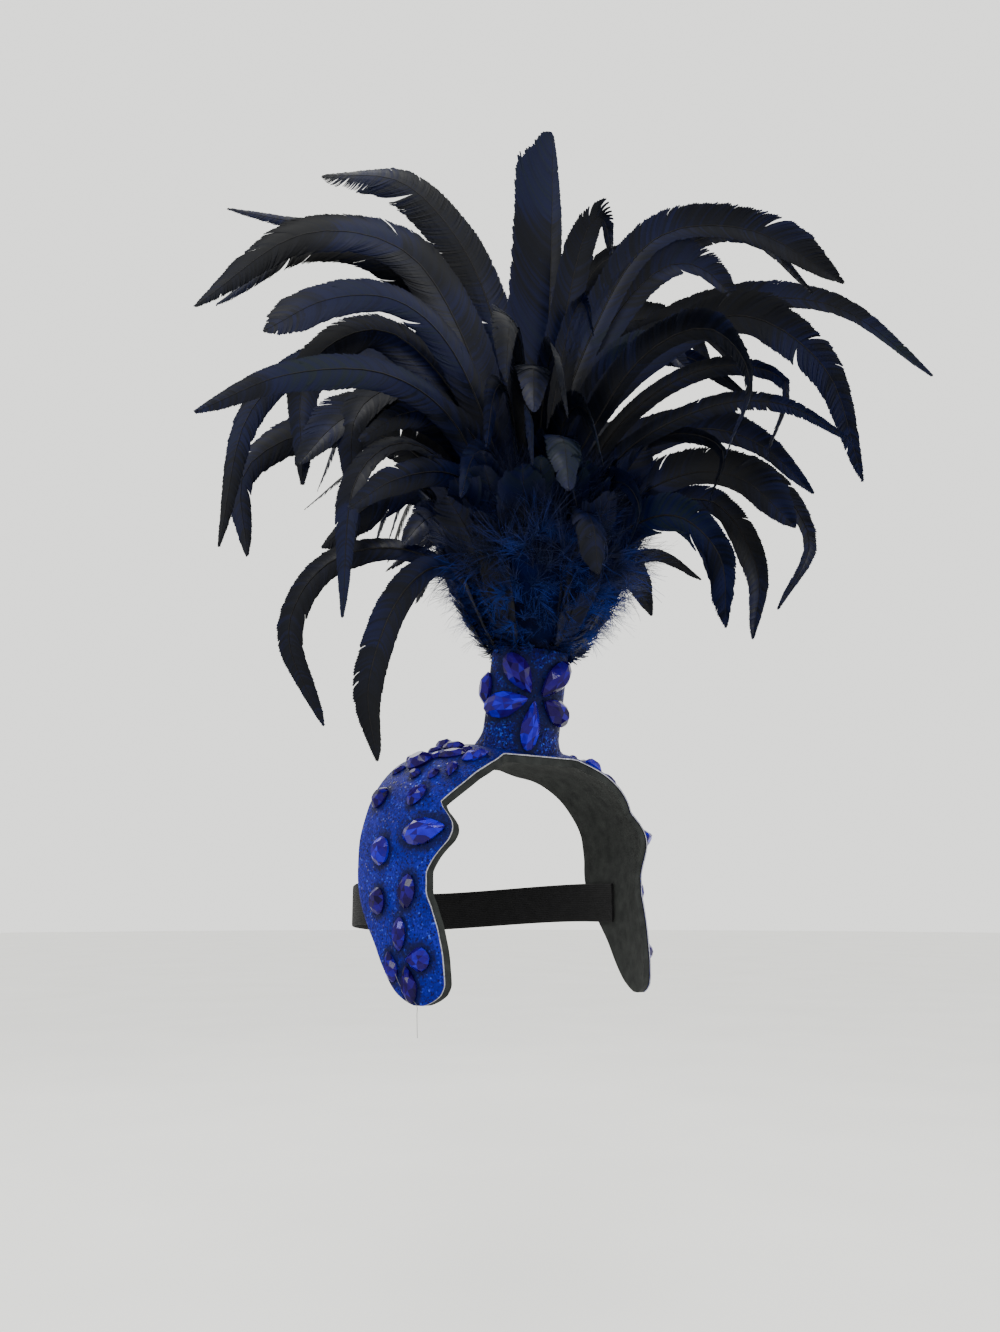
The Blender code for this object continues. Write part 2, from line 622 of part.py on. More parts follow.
def make_feather(name, heading, roll, width, tip, knots):
    """A feather from knots in shares of the plume's spread and height."""
    root = column_point(0.0, COLUMN_HEIGHT, -COLUMN_HALF_WIDTH)
    out = Vector((math.cos(heading), math.sin(heading), 0.0))
    side = Vector((-math.sin(heading), math.cos(heading), 0.0))
    places = [root + out * 0.006 + Vector((0.0, 0.0, 0.012))]
    for reach, rise in knots:
        places.append(root + out * reach * PLUME_SPREAD + Vector((0.0, 0.0, rise * PLUME_HEIGHT)))
    path = smooth_path(places, FEATHER_SECTIONS)
    return make_blade(name, path, width * FEATHER_WIDTH, roll, tip, side, FEATHER_THICKNESS)


def spray_knots(reach, rise):
    """Knots of an ordinary curling feather that stands out to reach and rises to rise."""
    return [(0.10 * reach, 0.36 * rise), (0.28 * reach, 0.76 * rise), (0.56 * reach, 1.00 * rise),
            (0.84 * reach, 0.92 * rise), (1.00 * reach, 0.66 * rise)]


def make_core():
    """The plug in the column and the tuft of down that swells over its rim."""
    foot, axis, across, depth = column_frame()
    plug = COLUMN_WALL + GAP
    rings = []
    for rise, extra in ((COLUMN_HEIGHT - PLUG_DEPTH, -plug), (COLUMN_HEIGHT + GAP, -plug)):
        rings.append((rise, COLUMN_HALF_WIDTH + extra, COLUMN_HALF_DEPTH + extra))
    rings.append((COLUMN_HEIGHT + GAP, COLUMN_HALF_WIDTH, COLUMN_HALF_DEPTH))
    for share, swell in ((0.10, 0.78), (0.30, 0.95), (0.52, 1.00), (0.78, 0.74), (1.0, 0.28)):
        rings.append((COLUMN_HEIGHT + TUFT_HEIGHT * share, TUFT_RADIUS * swell,
                      TUFT_RADIUS * swell))
    points = []
    for rise, half_width, half_depth in rings:
        for k in range(TUFT_SIDES):
            turn = 2.0 * math.pi * k / TUFT_SIDES
            points.append(foot + axis * rise + across * half_width * math.cos(turn)
                          + depth * half_depth * math.sin(turn))
    return make_object("feather_plume", points, ring_faces(len(rings), TUFT_SIDES),
                       bpy.data.materials["feather"])


def make_down_lock(name, turn, reach, rise, width):
    """A short curled lock of down that leaves the tuft."""
    root = column_point(0.0, COLUMN_HEIGHT, -COLUMN_HALF_WIDTH)
    out = Vector((math.cos(turn), math.sin(turn), 0.0))
    side = Vector((-math.sin(turn), math.cos(turn), 0.0))
    start = TUFT_RADIUS * 0.45
    knots = [root + out * start + Vector((0.0, 0.0, TUFT_HEIGHT * 0.20)),
             root + out * (start + 0.55 * reach) + Vector((0.0, 0.0, TUFT_HEIGHT * 0.20 + 0.62 * rise)),
             root + out * (start + reach) + Vector((0.0, 0.0, TUFT_HEIGHT * 0.20 + rise))]
    return make_blade(name, smooth_path(knots, 5), width, math.radians(80.0), 0.3, side,
                      2.0 * FEATHER_THICKNESS)


def triangulate(mesh):
    """Flat faces only, which join cleanly."""
    sheet = bmesh.new()
    sheet.from_mesh(mesh)
    bmesh.ops.triangulate(sheet, faces=sheet.faces)
    sheet.to_mesh(mesh)
    sheet.free()


def keep_body(mesh):
    """Leaves only the largest connected body, without the pockets that feathers close in."""
    sheet = bmesh.new()
    sheet.from_mesh(mesh)
    sheet.verts.ensure_lookup_table()
    body_of = {}
    sizes = []
    for vertex in sheet.verts:
        if vertex.index in body_of:
            continue
        body = len(sizes)
        reached = [vertex]
        body_of[vertex.index] = body
        for here in reached:
            for edge in here.link_edges:
                other = edge.other_vert(here)
                if other.index not in body_of:
                    body_of[other.index] = body
                    reached.append(other)
        sizes.append(len(reached))
    largest = sizes.index(max(sizes))
    loose = [vertex for vertex in sheet.verts if body_of[vertex.index] != largest]
    bmesh.ops.delete(sheet, geom=loose, context="VERTS")
    sheet.to_mesh(mesh)
    sheet.free()


def bind(core, blade):
    """Joins a blade to the core with a Boolean union, and removes the blade."""
    triangulate(blade.data)
    union = core.modifiers.new("bind", "BOOLEAN")
    union.operation = "UNION"
    union.solver = "EXACT"
    union.object = blade
    bound = core.evaluated_get(bpy.context.evaluated_depsgraph_get())
    mesh = bpy.data.meshes.new_from_object(bound)
    core.modifiers.clear()
    core.data = mesh
    bpy.data.objects.remove(blade, do_unlink=True)


def make_plume():
    """All the feathers and the down, joined into one body with the plug."""
    core = make_core()
    triangulate(core.data)
    chance = random.Random(PLUME_SEED)
    blades = []
    for k, (heading, roll, width, tip, knots) in enumerate(FEATHERS):
        blades.append(make_feather(f"blade_{k}", math.radians(heading), math.radians(roll),
                                   width, tip, knots))
    for k in range(BACK_FEATHERS):
        heading = math.radians(24.0 + 94.0 * ((k * 0.618) % 1.0) + chance.uniform(-4.0, 4.0))
        rise = 0.26 + 0.54 * (k + 0.5) / BACK_FEATHERS
        reach = 0.62 + 0.26 * math.sin(math.pi * rise) + chance.uniform(-0.06, 0.06)
        roll = math.radians(chance.uniform(10.0, 60.0))
        blades.append(make_feather(f"back_{k}", heading, roll, chance.uniform(0.7, 1.0),
                                   chance.uniform(0.1, 0.6), spray_knots(reach, rise)))
    for k in range(FRONT_FEATHERS):
        heading = math.radians(-92.0 - 78.0 * ((k * 0.618 + 0.2) % 1.0))
        rise = 0.34 + 0.30 * (k + 0.5) / FRONT_FEATHERS
        reach = 0.40 + chance.uniform(-0.05, 0.05)
        roll = math.radians(chance.uniform(40.0, 80.0))
        blades.append(make_feather(f"front_{k}", heading, roll, chance.uniform(0.8, 1.0),
                                   chance.uniform(0.3, 0.7), spray_knots(reach, rise)))
    for k in range(DOWN_LOCKS):
        turn = 2.0 * math.pi * (k + chance.uniform(-0.15, 0.15)) / DOWN_LOCKS
        reach = DOWN_LENGTH * chance.uniform(0.55, 0.80)
        rise = DOWN_LENGTH * chance.uniform(0.50, 0.90)
        blades.append(make_down_lock(f"down_{k}", turn, reach, rise,
                                     DOWN_WIDTH * chance.uniform(0.8, 1.1)))
    for blade in blades:
        bind(core, blade)
    keep_body(core.data)
    triangulate(core.data)
    core.data.name = "feather_plume"
    return core


def surface_of(item):
    """A tree of a piece's faces in world space, to seat other pieces on."""
    bpy.context.view_layer.update()
    sheet = bmesh.new()
    sheet.from_mesh(item.data)
    bmesh.ops.triangulate(sheet, faces=sheet.faces)
    tree = BVHTree.FromBMesh(sheet)
    sheet.free()
    return tree


def main():
    clear_scene()
    glitter = make_material("glitter_fabric", GLITTER_BLUE, 0.42)
    foam = make_material("foam", FOAM_GREY, 0.85)
    elastic = make_material("elastic", ELASTIC_BLACK, 0.75)
    stone = make_material("stone", STONE_BLUE, 0.08)
    make_material("feather", FEATHER_BLACK, 0.38)
    cover_low = FOAM_THICKNESS + GAP
    make_shell("foam_shell", 0.0, FOAM_THICKNESS, COVER_OVERHANG, foam)
    cover = make_shell("glitter_cover", cover_low, cover_low + COVER_THICKNESS, 0.0, glitter)
    make_strap(elastic)
    cover_tree = surface_of(cover)
    column = make_column(cover_tree, glitter)
    make_band_stones(cover_tree, stone)
    make_column_stones(surface_of(column), stone)
    make_plume()


main()
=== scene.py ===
# %% [markdown]
# # A showgirl's feather headdress
# The real thing is a foam band covered in glitter fabric that runs over the crown from ear to
# ear. A fabric-covered tube stands on it and holds a spray of curled cockerel feathers, and
# blue acrylic stones are glued all over. The solids in the frame give every piece its place and
# size. This file dresses them: barbs on the feathers, flakes in the fabric, facets on the stones.

# %% Load the frame
import math
import random

import bmesh
import bpy
from mathutils import Matrix, Vector, noise
from mathutils.bvhtree import BVHTree


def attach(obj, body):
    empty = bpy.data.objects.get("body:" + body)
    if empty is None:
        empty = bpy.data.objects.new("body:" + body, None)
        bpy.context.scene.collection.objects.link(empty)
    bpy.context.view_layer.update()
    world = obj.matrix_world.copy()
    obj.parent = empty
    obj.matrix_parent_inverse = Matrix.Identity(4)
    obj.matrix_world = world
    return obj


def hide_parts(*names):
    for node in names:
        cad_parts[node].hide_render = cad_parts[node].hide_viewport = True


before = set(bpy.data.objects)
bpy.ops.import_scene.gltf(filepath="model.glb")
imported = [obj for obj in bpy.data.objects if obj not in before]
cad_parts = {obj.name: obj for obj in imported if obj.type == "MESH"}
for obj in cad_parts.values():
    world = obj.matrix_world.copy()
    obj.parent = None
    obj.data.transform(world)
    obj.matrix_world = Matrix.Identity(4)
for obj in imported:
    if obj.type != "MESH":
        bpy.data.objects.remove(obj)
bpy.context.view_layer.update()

print("nodes", len(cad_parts))

# %% [markdown]
# ## The camera
# The headdress is seen from a little below its band and from its right front. The wearer faces
# -Y, so the camera stands at an azimuth of -35 degrees and looks up by 11.8 degrees. The lens
# is worked out from a focal length in pixels of a frame 1332 pixels high.

# %% Camera
FRAME_HEIGHT = 1332
FOCAL_PIXELS = 1116
CAMERA_AZIMUTH = math.radians(-35.0)
CAMERA_PITCH = math.radians(11.8)
CAMERA_DISTANCE = 0.622
CAMERA_HEIGHT = -0.078
CAMERA_SIDE = -0.002
SENSOR = 36.0
CLIP_START = 0.01


def new_object(name, data):
    """An object for some data, linked to the scene."""
    item = bpy.data.objects.new(name, data)
    bpy.context.scene.collection.objects.link(item)
    return item


def make_camera():
    back = Vector((math.sin(CAMERA_AZIMUTH), -math.cos(CAMERA_AZIMUTH), 0.0))
    right = Vector((math.cos(CAMERA_AZIMUTH), math.sin(CAMERA_AZIMUTH), 0.0))
    rise = Vector((0.0, 0.0, 1.0))
    look = -back * math.cos(CAMERA_PITCH) + rise * math.sin(CAMERA_PITCH)
    up = back * math.sin(CAMERA_PITCH) + rise * math.cos(CAMERA_PITCH)
    data = bpy.data.cameras.new("camera")
    data.sensor_width = SENSOR
    data.lens = SENSOR * FOCAL_PIXELS / FRAME_HEIGHT
    data.clip_start = CLIP_START
    camera = new_object("camera", data)
    turn = Matrix((right, up, -look)).transposed().to_4x4()
    place = back * CAMERA_DISTANCE + right * CAMERA_SIDE + rise * CAMERA_HEIGHT
    camera.matrix_world = Matrix.Translation(place) @ turn
    return camera


bpy.context.scene.camera = make_camera()
print("lens", round(bpy.context.scene.camera.data.lens, 2), "mm")

# %% [markdown]
# ## Small helpers
# A node tree in code is mostly "add this node, set this, join that". Three short functions do
# that for shaders and for Geometry Nodes alike, so that each tree below reads like its recipe.

# %% Helpers for nodes
def node(tree, kind, inputs=None, **settings):
    """Adds a node, makes its settings, then joins or sets its inputs."""
    made = tree.nodes.new(kind)
    for name, value in settings.items():
        setattr(made, name, value)
    for key, value in (inputs or {}).items():
        if isinstance(value, bpy.types.NodeSocket):
            tree.links.new(value, made.inputs[key])
        else:
            made.inputs[key].default_value = value
    return made


def calc(tree, operation, *values):
    """The result of a Math node on numbers or sockets."""
    return node(tree, "ShaderNodeMath", dict(enumerate(values)), operation=operation).outputs[0]


def vector_calc(tree, operation, *values):
    """The result of a Vector Math node."""
    made = node(tree, "ShaderNodeVectorMath", dict(enumerate(values)), operation=operation)
    return made.outputs[0]


def scaled(tree, vector, factor):
    """A vector times a number."""
    made = node(tree, "ShaderNodeVectorMath", {0: vector, 3: factor}, operation="SCALE")
    return made.outputs[0]


# %% [markdown]
# Quills and threads follow smooth curves. Catmull and Rom's rule takes a curve through every
# knot of a short list, so a shape is written down as a handful of places.

# %% Helper for paths
CURVE_STEPS = 24


def smooth_path(knots, count):
    """A smooth curve through the knots, as count points at even steps of the curve's own run."""
    ends = [knots[0] * 2.0 - knots[1]] + knots + [knots[-1] * 2.0 - knots[-2]]
    fine = []
    for k in range(1, len(ends) - 2):
        p0, p1, p2, p3 = ends[k - 1:k + 3]
        for j in range(CURVE_STEPS):
            t = j / CURVE_STEPS
            fine.append(0.5 * (2.0 * p1 + (p2 - p0) * t
                               + (2.0 * p0 - 5.0 * p1 + 4.0 * p2 - p3) * t ** 2
                               + (3.0 * p1 - p0 - 3.0 * p2 + p3) * t ** 3))
    fine.append(knots[-1])
    marks = [0.0]
    for a, b in zip(fine, fine[1:]):
        marks.append(marks[-1] + (b - a).length)
    path = []
    spot = 1
    for k in range(count):
        wanted = marks[-1] * k / (count - 1)
        while spot < len(marks) - 1 and marks[spot] < wanted:
            spot += 1
        share = (wanted - marks[spot - 1]) / (marks[spot] - marks[spot - 1])
        path.append(fine[spot - 1].lerp(fine[spot], share))
    return path


# %% [markdown]
# ## Materials
# Each finish starts from a Principled shader. A colour ramp over a pattern gives the variation,
# and a bump gives the small relief. Patterns are read in Object coordinates, in metres, so a
# scale of 1000 makes cells of about a millimetre.

# %% Helpers for materials
def new_material(name, roughness, metallic=0.0, **sockets):
    """A material with its shader; more sockets are given by their names with underscores."""
    material = bpy.data.materials.new(name)
    material.use_nodes = True
    shader = material.node_tree.nodes["Principled BSDF"]
    shader.inputs["Roughness"].default_value = roughness
    shader.inputs["Metallic"].default_value = metallic
    for key, value in sockets.items():
        shader.inputs[key.replace("_", " ")].default_value = value
    return material, material.node_tree, shader


def plug_in(tree, shader, **results):
    """Joins results to the shader's inputs, which are given as in new_material."""
    for key, result in results.items():
        tree.links.new(result, shader.inputs[key.replace("_", " ")])


def object_place(tree):
    """The place on the piece, in metres."""
    return node(tree, "ShaderNodeTexCoord").outputs["Object"]


def attribute_of(tree, name):
    """A number that the piece's mesh carries."""
    return node(tree, "ShaderNodeAttribute", attribute_name=name).outputs["Fac"]


def mix(tree, factor, first, second, blend_type="MIX"):
    """Two colours mixed by a factor."""
    return node(tree, "ShaderNodeMix", {0: factor, 6: first, 7: second},
                data_type="RGBA", blend_type=blend_type).outputs[2]


def ramp(tree, factor, stops):
    """A colour ramp: stops are (place, colour)."""
    made = node(tree, "ShaderNodeValToRGB", {"Fac": factor})
    elements = made.color_ramp.elements
    while len(elements) < len(stops):
        elements.new(0.5)
    for element, (place, colour) in zip(elements, stops):
        element.position = place
        element.color = (*colour, 1.0)
    return made.outputs["Color"]


def bump(tree, height, distance, strength=1.0, normal=None):
    """A small relief in metres, over another normal if one is given."""
    inputs = {"Height": height, "Distance": distance, "Strength": strength}
    if normal is not None:
        inputs["Normal"] = normal
    return node(tree, "ShaderNodeBump", inputs).outputs["Normal"]


def noise_of(tree, vector, scale, detail=2.0):
    """A smooth noise with about so many swells to the metre."""
    inputs = {"Vector": vector, "Scale": scale, "Detail": detail}
    return node(tree, "ShaderNodeTexNoise", inputs).outputs[0]


# %% [markdown]
# Glitter fabric is a cloth with thousands of small foil flakes glued on at every angle. A
# Voronoi pattern has one random colour in each cell, so one cell is one flake: the colour
# picks its tint, and it also tips the normal, which makes the flake flash by itself. The
# column stands in the plume's shade and holds more glue, so its fabric has darker tints.

# %% Glitter fabric
FLAKES_PER_METRE = 1150.0
FLAKE_TILT = 0.21
GLUE_EDGE_SCALE = 420.0
GLUE_DARKEST = 0.85
GLUE_TINT = (0.002, 0.003, 0.022, 1.0)


def glued(tree, place, colour):
    """The colour where glue has soaked in or the crown is darkened, with a ragged edge."""
    ragged = calc(tree, "SUBTRACT", noise_of(tree, place, GLUE_EDGE_SCALE, 2.0), 0.5)
    wet = calc(tree, "MULTIPLY", attribute_of(tree, "glue"),
               calc(tree, "MULTIPLY_ADD", ragged, 1.6, 1.0))
    return mix(tree, calc(tree, "MINIMUM", wet, GLUE_DARKEST), colour, GLUE_TINT)


def glitter_material(name, stops, flash_share):
    """Fabric of flakes: stops give their tints, flash_share is the share that flashes."""
    material, tree, shader = new_material(name, 0.5, Specular_IOR_Level=0.07)
    place = object_place(tree)
    flakes = node(tree, "ShaderNodeTexVoronoi", {"Vector": place, "Scale": FLAKES_PER_METRE})
    lot = node(tree, "ShaderNodeSeparateColor", {0: flakes.outputs["Color"]})
    tint = ramp(tree, lot.outputs[0], stops)
    patches = noise_of(tree, place, 60.0, 4.0)
    shade = ramp(tree, patches, [(0.32, (0.42, 0.36, 0.62)), (0.60, (1.00, 1.00, 1.00))])
    colour = glued(tree, place, mix(tree, 1.0, tint, shade, "MULTIPLY"))
    flash = calc(tree, "GREATER_THAN", lot.outputs[1], 1.0 - flash_share)
    tilt = vector_calc(tree, "SUBTRACT", flakes.outputs["Color"], (0.5, 0.5, 0.5))
    tilt = scaled(tree, tilt, calc(tree, "MULTIPLY_ADD", flash, FLAKE_TILT, FLAKE_TILT))
    straight = node(tree, "ShaderNodeNewGeometry").outputs["Normal"]
    tipped = vector_calc(tree, "NORMALIZE", vector_calc(tree, "ADD", straight, tilt))
    relief = bump(tree, noise_of(tree, place, 700.0, 2.0), 0.0003, 0.6, tipped)
    plug_in(tree, shader, Base_Color=colour, Metallic=calc(tree, "MULTIPLY", flash, 0.8),
            Roughness=calc(tree, "MULTIPLY_ADD", flash, -0.30, 0.60), Normal=relief)
    return material


glitter = glitter_material("glitter_fabric", [
    (0.00, (0.0012, 0.0008, 0.022)),
    (0.12, (0.0032, 0.0026, 0.080)),
    (0.40, (0.0048, 0.0052, 0.155)),
    (0.94, (0.0066, 0.0072, 0.240)),
    (1.00, (0.0300, 0.0700, 0.500)),
], 0.015)
dark_glitter = glitter_material("glitter_fabric_shaded", [
    (0.00, (0.0008, 0.0004, 0.010)),
    (0.45, (0.0020, 0.0014, 0.055)),
    (0.88, (0.0030, 0.0040, 0.130)),
    (1.00, (0.0120, 0.0450, 0.330)),
], 0.03)

# %% [markdown]
# The fabric has a pale backing, which shows as a thin line where it was cut. Fine noise gives
# it the unevenness of fibres, where a flat grey would look like paint. Set hot glue is cloudy
# and a little glossier, and only one thread of it is seen.

# %% Backing and set glue
def backing_material():
    material, tree, shader = new_material("fabric_backing", 0.6)
    fibres = noise_of(tree, object_place(tree), 900.0, 3.0)
    colour = ramp(tree, fibres, [(0.3, (0.11, 0.11, 0.13)), (0.7, (0.33, 0.33, 0.37))])
    plug_in(tree, shader, Base_Color=colour, Normal=bump(tree, fibres, 0.0002))
    return material


def glue_material():
    material, tree, shader = new_material("glue", 0.35, Specular_IOR_Level=0.20)
    cloudy = noise_of(tree, object_place(tree), 500.0, 2.0)
    colour = ramp(tree, cloudy, [(0.3, (0.055, 0.055, 0.062)), (0.7, (0.150, 0.150, 0.160))])
    plug_in(tree, shader, Base_Color=colour)
    return material


backing = backing_material()
glue_finish = glue_material()

# %% [markdown]
# The core is closed-cell foam, dark grey and dull. A Voronoi pattern gives the pits of its
# cells, and a slower noise the mottled grey and the soft unevenness under them. Modelled pits
# would cost many thousands of faces for a relief of 0.2 mm, so they are a bump.

# %% Foam
FOAM_CELLS_PER_METRE = 1900.0


def foam_material():
    material, tree, shader = new_material("foam", 0.85, Specular_IOR_Level=0.14)
    place = object_place(tree)
    cells = node(tree, "ShaderNodeTexVoronoi", {"Vector": place, "Scale": FOAM_CELLS_PER_METRE})
    grain = noise_of(tree, place, 160.0, 4.0)
    colour = ramp(tree, grain, [(0.3, (0.008, 0.009, 0.009)), (0.7, (0.019, 0.021, 0.020))])
    small = bump(tree, cells.outputs["Distance"], 0.0002, 0.5)
    plug_in(tree, shader, Base_Color=colour, Normal=bump(tree, grain, 0.0006, 0.5, small))
    return material


foam = foam_material()

# %% [markdown]
# Elastic is woven: rubber cords run along it, and rows of thread cross them. The ribs follow
# the strap round the head, which Object coordinates can't do, so the pattern reads the strap's
# own UV map. U runs along it in metres and V across it, and two sine waves make the weave.

# %% Elastic
ELASTIC_CORDS = 900.0
ELASTIC_ROWS = 1400.0


def waves(tree, run, count):
    """A sine wave with so many crests to the metre of a run."""
    return calc(tree, "SINE", calc(tree, "MULTIPLY", run, 2.0 * math.pi * count))


def elastic_material():
    material, tree, shader = new_material("elastic", 0.75, Specular_IOR_Level=0.12)
    split = node(tree, "ShaderNodeSeparateXYZ",
                 {0: node(tree, "ShaderNodeUVMap", uv_map="weave").outputs[0]})
    cords = waves(tree, split.outputs[1], ELASTIC_CORDS)
    rows = waves(tree, split.outputs[0], ELASTIC_ROWS)
    weave = calc(tree, "MULTIPLY_ADD", cords, calc(tree, "MULTIPLY_ADD", rows, 0.35, 0.65), 1.0)
    weave = calc(tree, "MULTIPLY", weave, 0.5)
    wear = noise_of(tree, object_place(tree), 220.0, 3.0)
    colour = ramp(tree, calc(tree, "MULTIPLY", weave, wear), [
        (0.05, (0.0010, 0.0010, 0.0012)), (0.5, (0.0060, 0.0060, 0.0070))])
    plug_in(tree, shader, Base_Color=colour, Normal=bump(tree, weave, 0.0003, 0.8))
    return material


elastic = elastic_material()

# %% [markdown]
# A foil-backed acrylic stone looks bright on one facet and almost black on the next, because
# each facet mirrors another part of the foil. That reflection is painted into the colour: the
# stones carry it as an attribute, one value a facet, and the shader turns it into a tone of
# the stones' own deep blue. A clear coat keeps the gloss white.

# %% Stones
def stone_material():
    material, tree, shader = new_material("stone", 0.12, Specular_IOR_Level=0.06,
                                          Coat_Weight=0.07, Coat_Roughness=0.04)
    # Painted reflection: each facet's glint value and a slow noise give the tone, dark to bright
    # blue.
    depth = noise_of(tree, object_place(tree), 260.0, 2.0)
    tone = calc(tree, "MULTIPLY_ADD", calc(tree, "SUBTRACT", depth, 0.5), 0.35,
                attribute_of(tree, "fire"))
    colour = ramp(tree, tone, [
        (0.00, (0.0020, 0.0000, 0.018)),
        (0.30, (0.0065, 0.0000, 0.050)),
        (0.55, (0.0090, 0.0000, 0.095)),
        (0.80, (0.0100, 0.0000, 0.195)),
        (1.00, (0.0100, 0.0000, 0.400)),
    ])
    plug_in(tree, shader, Base_Color=colour)
    return material


stone = stone_material()

# %% [markdown]
# Cockerel feathers are black with a cool sheen. No barb reflects quite like its neighbour, so
# the shader reads each barb's own random number, and the dye shows blue near the root, where
# the barbs are soft. Wide navy and grey-green patches in the colour are painted sheen. The
# quills are bare and brown-black, with fine streaks.

# %% Feathers and quills
ROOT_TINT = (0.0014, 0.0048, 0.0440, 1.0)


def feather_material():
    material, tree, shader = new_material(
        "feather", 0.40, Specular_IOR_Level=0.11, Sheen_Weight=0.015, Sheen_Roughness=0.4,
        Sheen_Tint=(0.45, 0.60, 0.85, 1.0))
    lot = attribute_of(tree, "lot")
    # Painted sheen: a slow noise lays wide navy and grey-green patches into the black.
    patches = noise_of(tree, object_place(tree), 14.0, 1.0)
    tone = calc(tree, "MULTIPLY_ADD", lot, 0.16, calc(tree, "MULTIPLY", patches, 0.92))
    colour = ramp(tree, tone, [
        (0.36, (0.0006, 0.0009, 0.0022)),
        (0.52, (0.0010, 0.0017, 0.0056)),
        (0.66, (0.0018, 0.0034, 0.0210)),
        (0.82, (0.0028, 0.0062, 0.0094)),
    ])
    root = calc(tree, "MULTIPLY_ADD", attribute_of(tree, "share"), -2.2, 0.85)
    colour = mix(tree, calc(tree, "MAXIMUM", root, 0.0), colour, ROOT_TINT)
    gloss = calc(tree, "MULTIPLY_ADD", attribute_of(tree, "along"), 0.14,
                 calc(tree, "MULTIPLY_ADD", lot, 0.12, 0.30))
    plug_in(tree, shader, Base_Color=colour, Roughness=gloss)
    return material


def quill_material():
    material, tree, shader = new_material("quill", 0.45, Specular_IOR_Level=0.12)
    streaks = noise_of(tree, object_place(tree), 300.0, 2.0)
    colour = ramp(tree, streaks, [
        (0.3, (0.0010, 0.0010, 0.0014)), (0.7, (0.0050, 0.0045, 0.0050))])
    plug_in(tree, shader, Base_Color=colour)
    return material


feather = feather_material()
quill = quill_material()

# %% [markdown]
# Down takes dye best of all, and it is a strong blue at the tuft's foot. Upwards it is darkened
# with painted shade of the feathers over it, so its height goes into the ramp together with a
# noise. Behind it lies the tuft's heart, a form that no light comes through, painted a dull
# blue-black for shade.

# %% Down
DOWN_BLUE_LEVEL = 0.075
DOWN_SHADE_FADE = 5.0


def down_material():
    material, tree, shader = new_material("down", 0.7, Specular_IOR_Level=0.15,
                                          Sheen_Weight=0.08, Sheen_Roughness=0.5,
                                          Sheen_Tint=(0.20, 0.35, 1.0, 1.0))
    place = object_place(tree)
    height = node(tree, "ShaderNodeSeparateXYZ", {0: place}).outputs[2]
    # Painted shade: the blue darkens with height above the blue level, under the feathers.
    patches = calc(tree, "MULTIPLY_ADD", calc(tree, "SUBTRACT", height, DOWN_BLUE_LEVEL),
                   -DOWN_SHADE_FADE, noise_of(tree, place, 45.0, 3.0))
    colour = ramp(tree, patches, [
        (0.32, (0.0010, 0.0022, 0.014)),
        (0.48, (0.0020, 0.0065, 0.062)),
        (0.68, (0.0035, 0.0170, 0.165)),
    ])
    plug_in(tree, shader, Base_Color=colour)
    return material


def heart_material():
    # The heart's dull blue-black is painted shade: inside dense down only shadow is seen.
    material, tree, shader = new_material("down_heart", 0.9, Specular_IOR_Level=0.04)
    patches = noise_of(tree, object_place(tree), 60.0, 3.0)
    colour = ramp(tree, patches, [
        (0.35, (0.0005, 0.0010, 0.0060)), (0.65, (0.0010, 0.0026, 0.0240))])
    plug_in(tree, shader, Base_Color=colour)
    return material


down = down_material()
heart = heart_material()
print("materials", len(bpy.data.materials))

# %% [markdown]
# ## The band
# The band is a sheet that follows a head, so one function gives its surface. Seen from the
# front it is a flat platform, a straight slope, a round side and an upright lobe, and from the
# side it is an arc. An outline table says where its front and back edges run, as shares of
# the reach, so one reach makes the whole band deeper. The solids join the table's rows with
# straight lines, and here a smooth curve goes through them.

# %% The band's sizes and outline
PLATFORM_HALF = 0.0257
SLOPE_ANGLE = math.radians(18.0)
SLOPE_RUN = 0.0090
SIDE_RADIUS = 0.0567
CROWN_RADIUS = 0.1300
CROWN_BACK = 0.0120
LOBE_RUN = 0.1777
FRONT_REACH = 0.0465
BACK_REACH = 0.0400
FOAM_THICKNESS = 0.0040
COVER_THICKNESS = 0.0010
COVER_OVERHANG = 0.0004
GAP = 0.0003
COVER_TOP = FOAM_THICKNESS + GAP + COVER_THICKNESS
CREASE_ROUND = 0.0022

# along, front edge, back edge: shares of the run, the front reach and the back reach
BAND_OUTLINE = [
    (0.000, -0.730, 0.95),
    (0.125, -0.730, 1.00),
    (0.160, -0.785, 1.00),
    (0.205, -0.850, 0.98),
    (0.260, -0.880, 0.83),
    (0.330, -0.870, 0.70),
    (0.385, -0.820, 0.63),
    (0.430, -0.750, 0.59),
    (0.449, -0.810, 0.57),
    (0.468, -0.900, 0.55),
    (0.495, -0.980, 0.53),
    (0.520, -1.000, 0.525),
    (0.545, -0.980, 0.53),
    (0.580, -0.890, 0.53),
    (0.615, -0.790, 0.53),
    (0.650, -0.730, 0.52),
    (0.690, -0.730, 0.48),
    (0.742, -0.800, 0.37),
    (0.795, -0.870, 0.20),
    (0.850, -0.920, 0.01),
    (0.900, -0.950, -0.14),
    (0.938, -0.955, -0.27),
    (0.966, -0.920, -0.40),
    (0.982, -0.850, -0.52),
    (0.992, -0.775, -0.62),
    (0.999, -0.700, -0.73),
]
NOTCH = 0.430

# %% [markdown]
# Two functions follow the head. One walks over it as seen from the front, and gives a place
# and the direction that points out of the head. The other says how far the head's roundness
# takes that place in, fore and aft of the crown. Foam can't bend in a sharp line at the
# platform's edge, so the band's point is an average over a short run there.

# %% The head's surface
AVERAGE_SHARES = (-1.0, -0.5, 0.0, 0.5, 1.0)


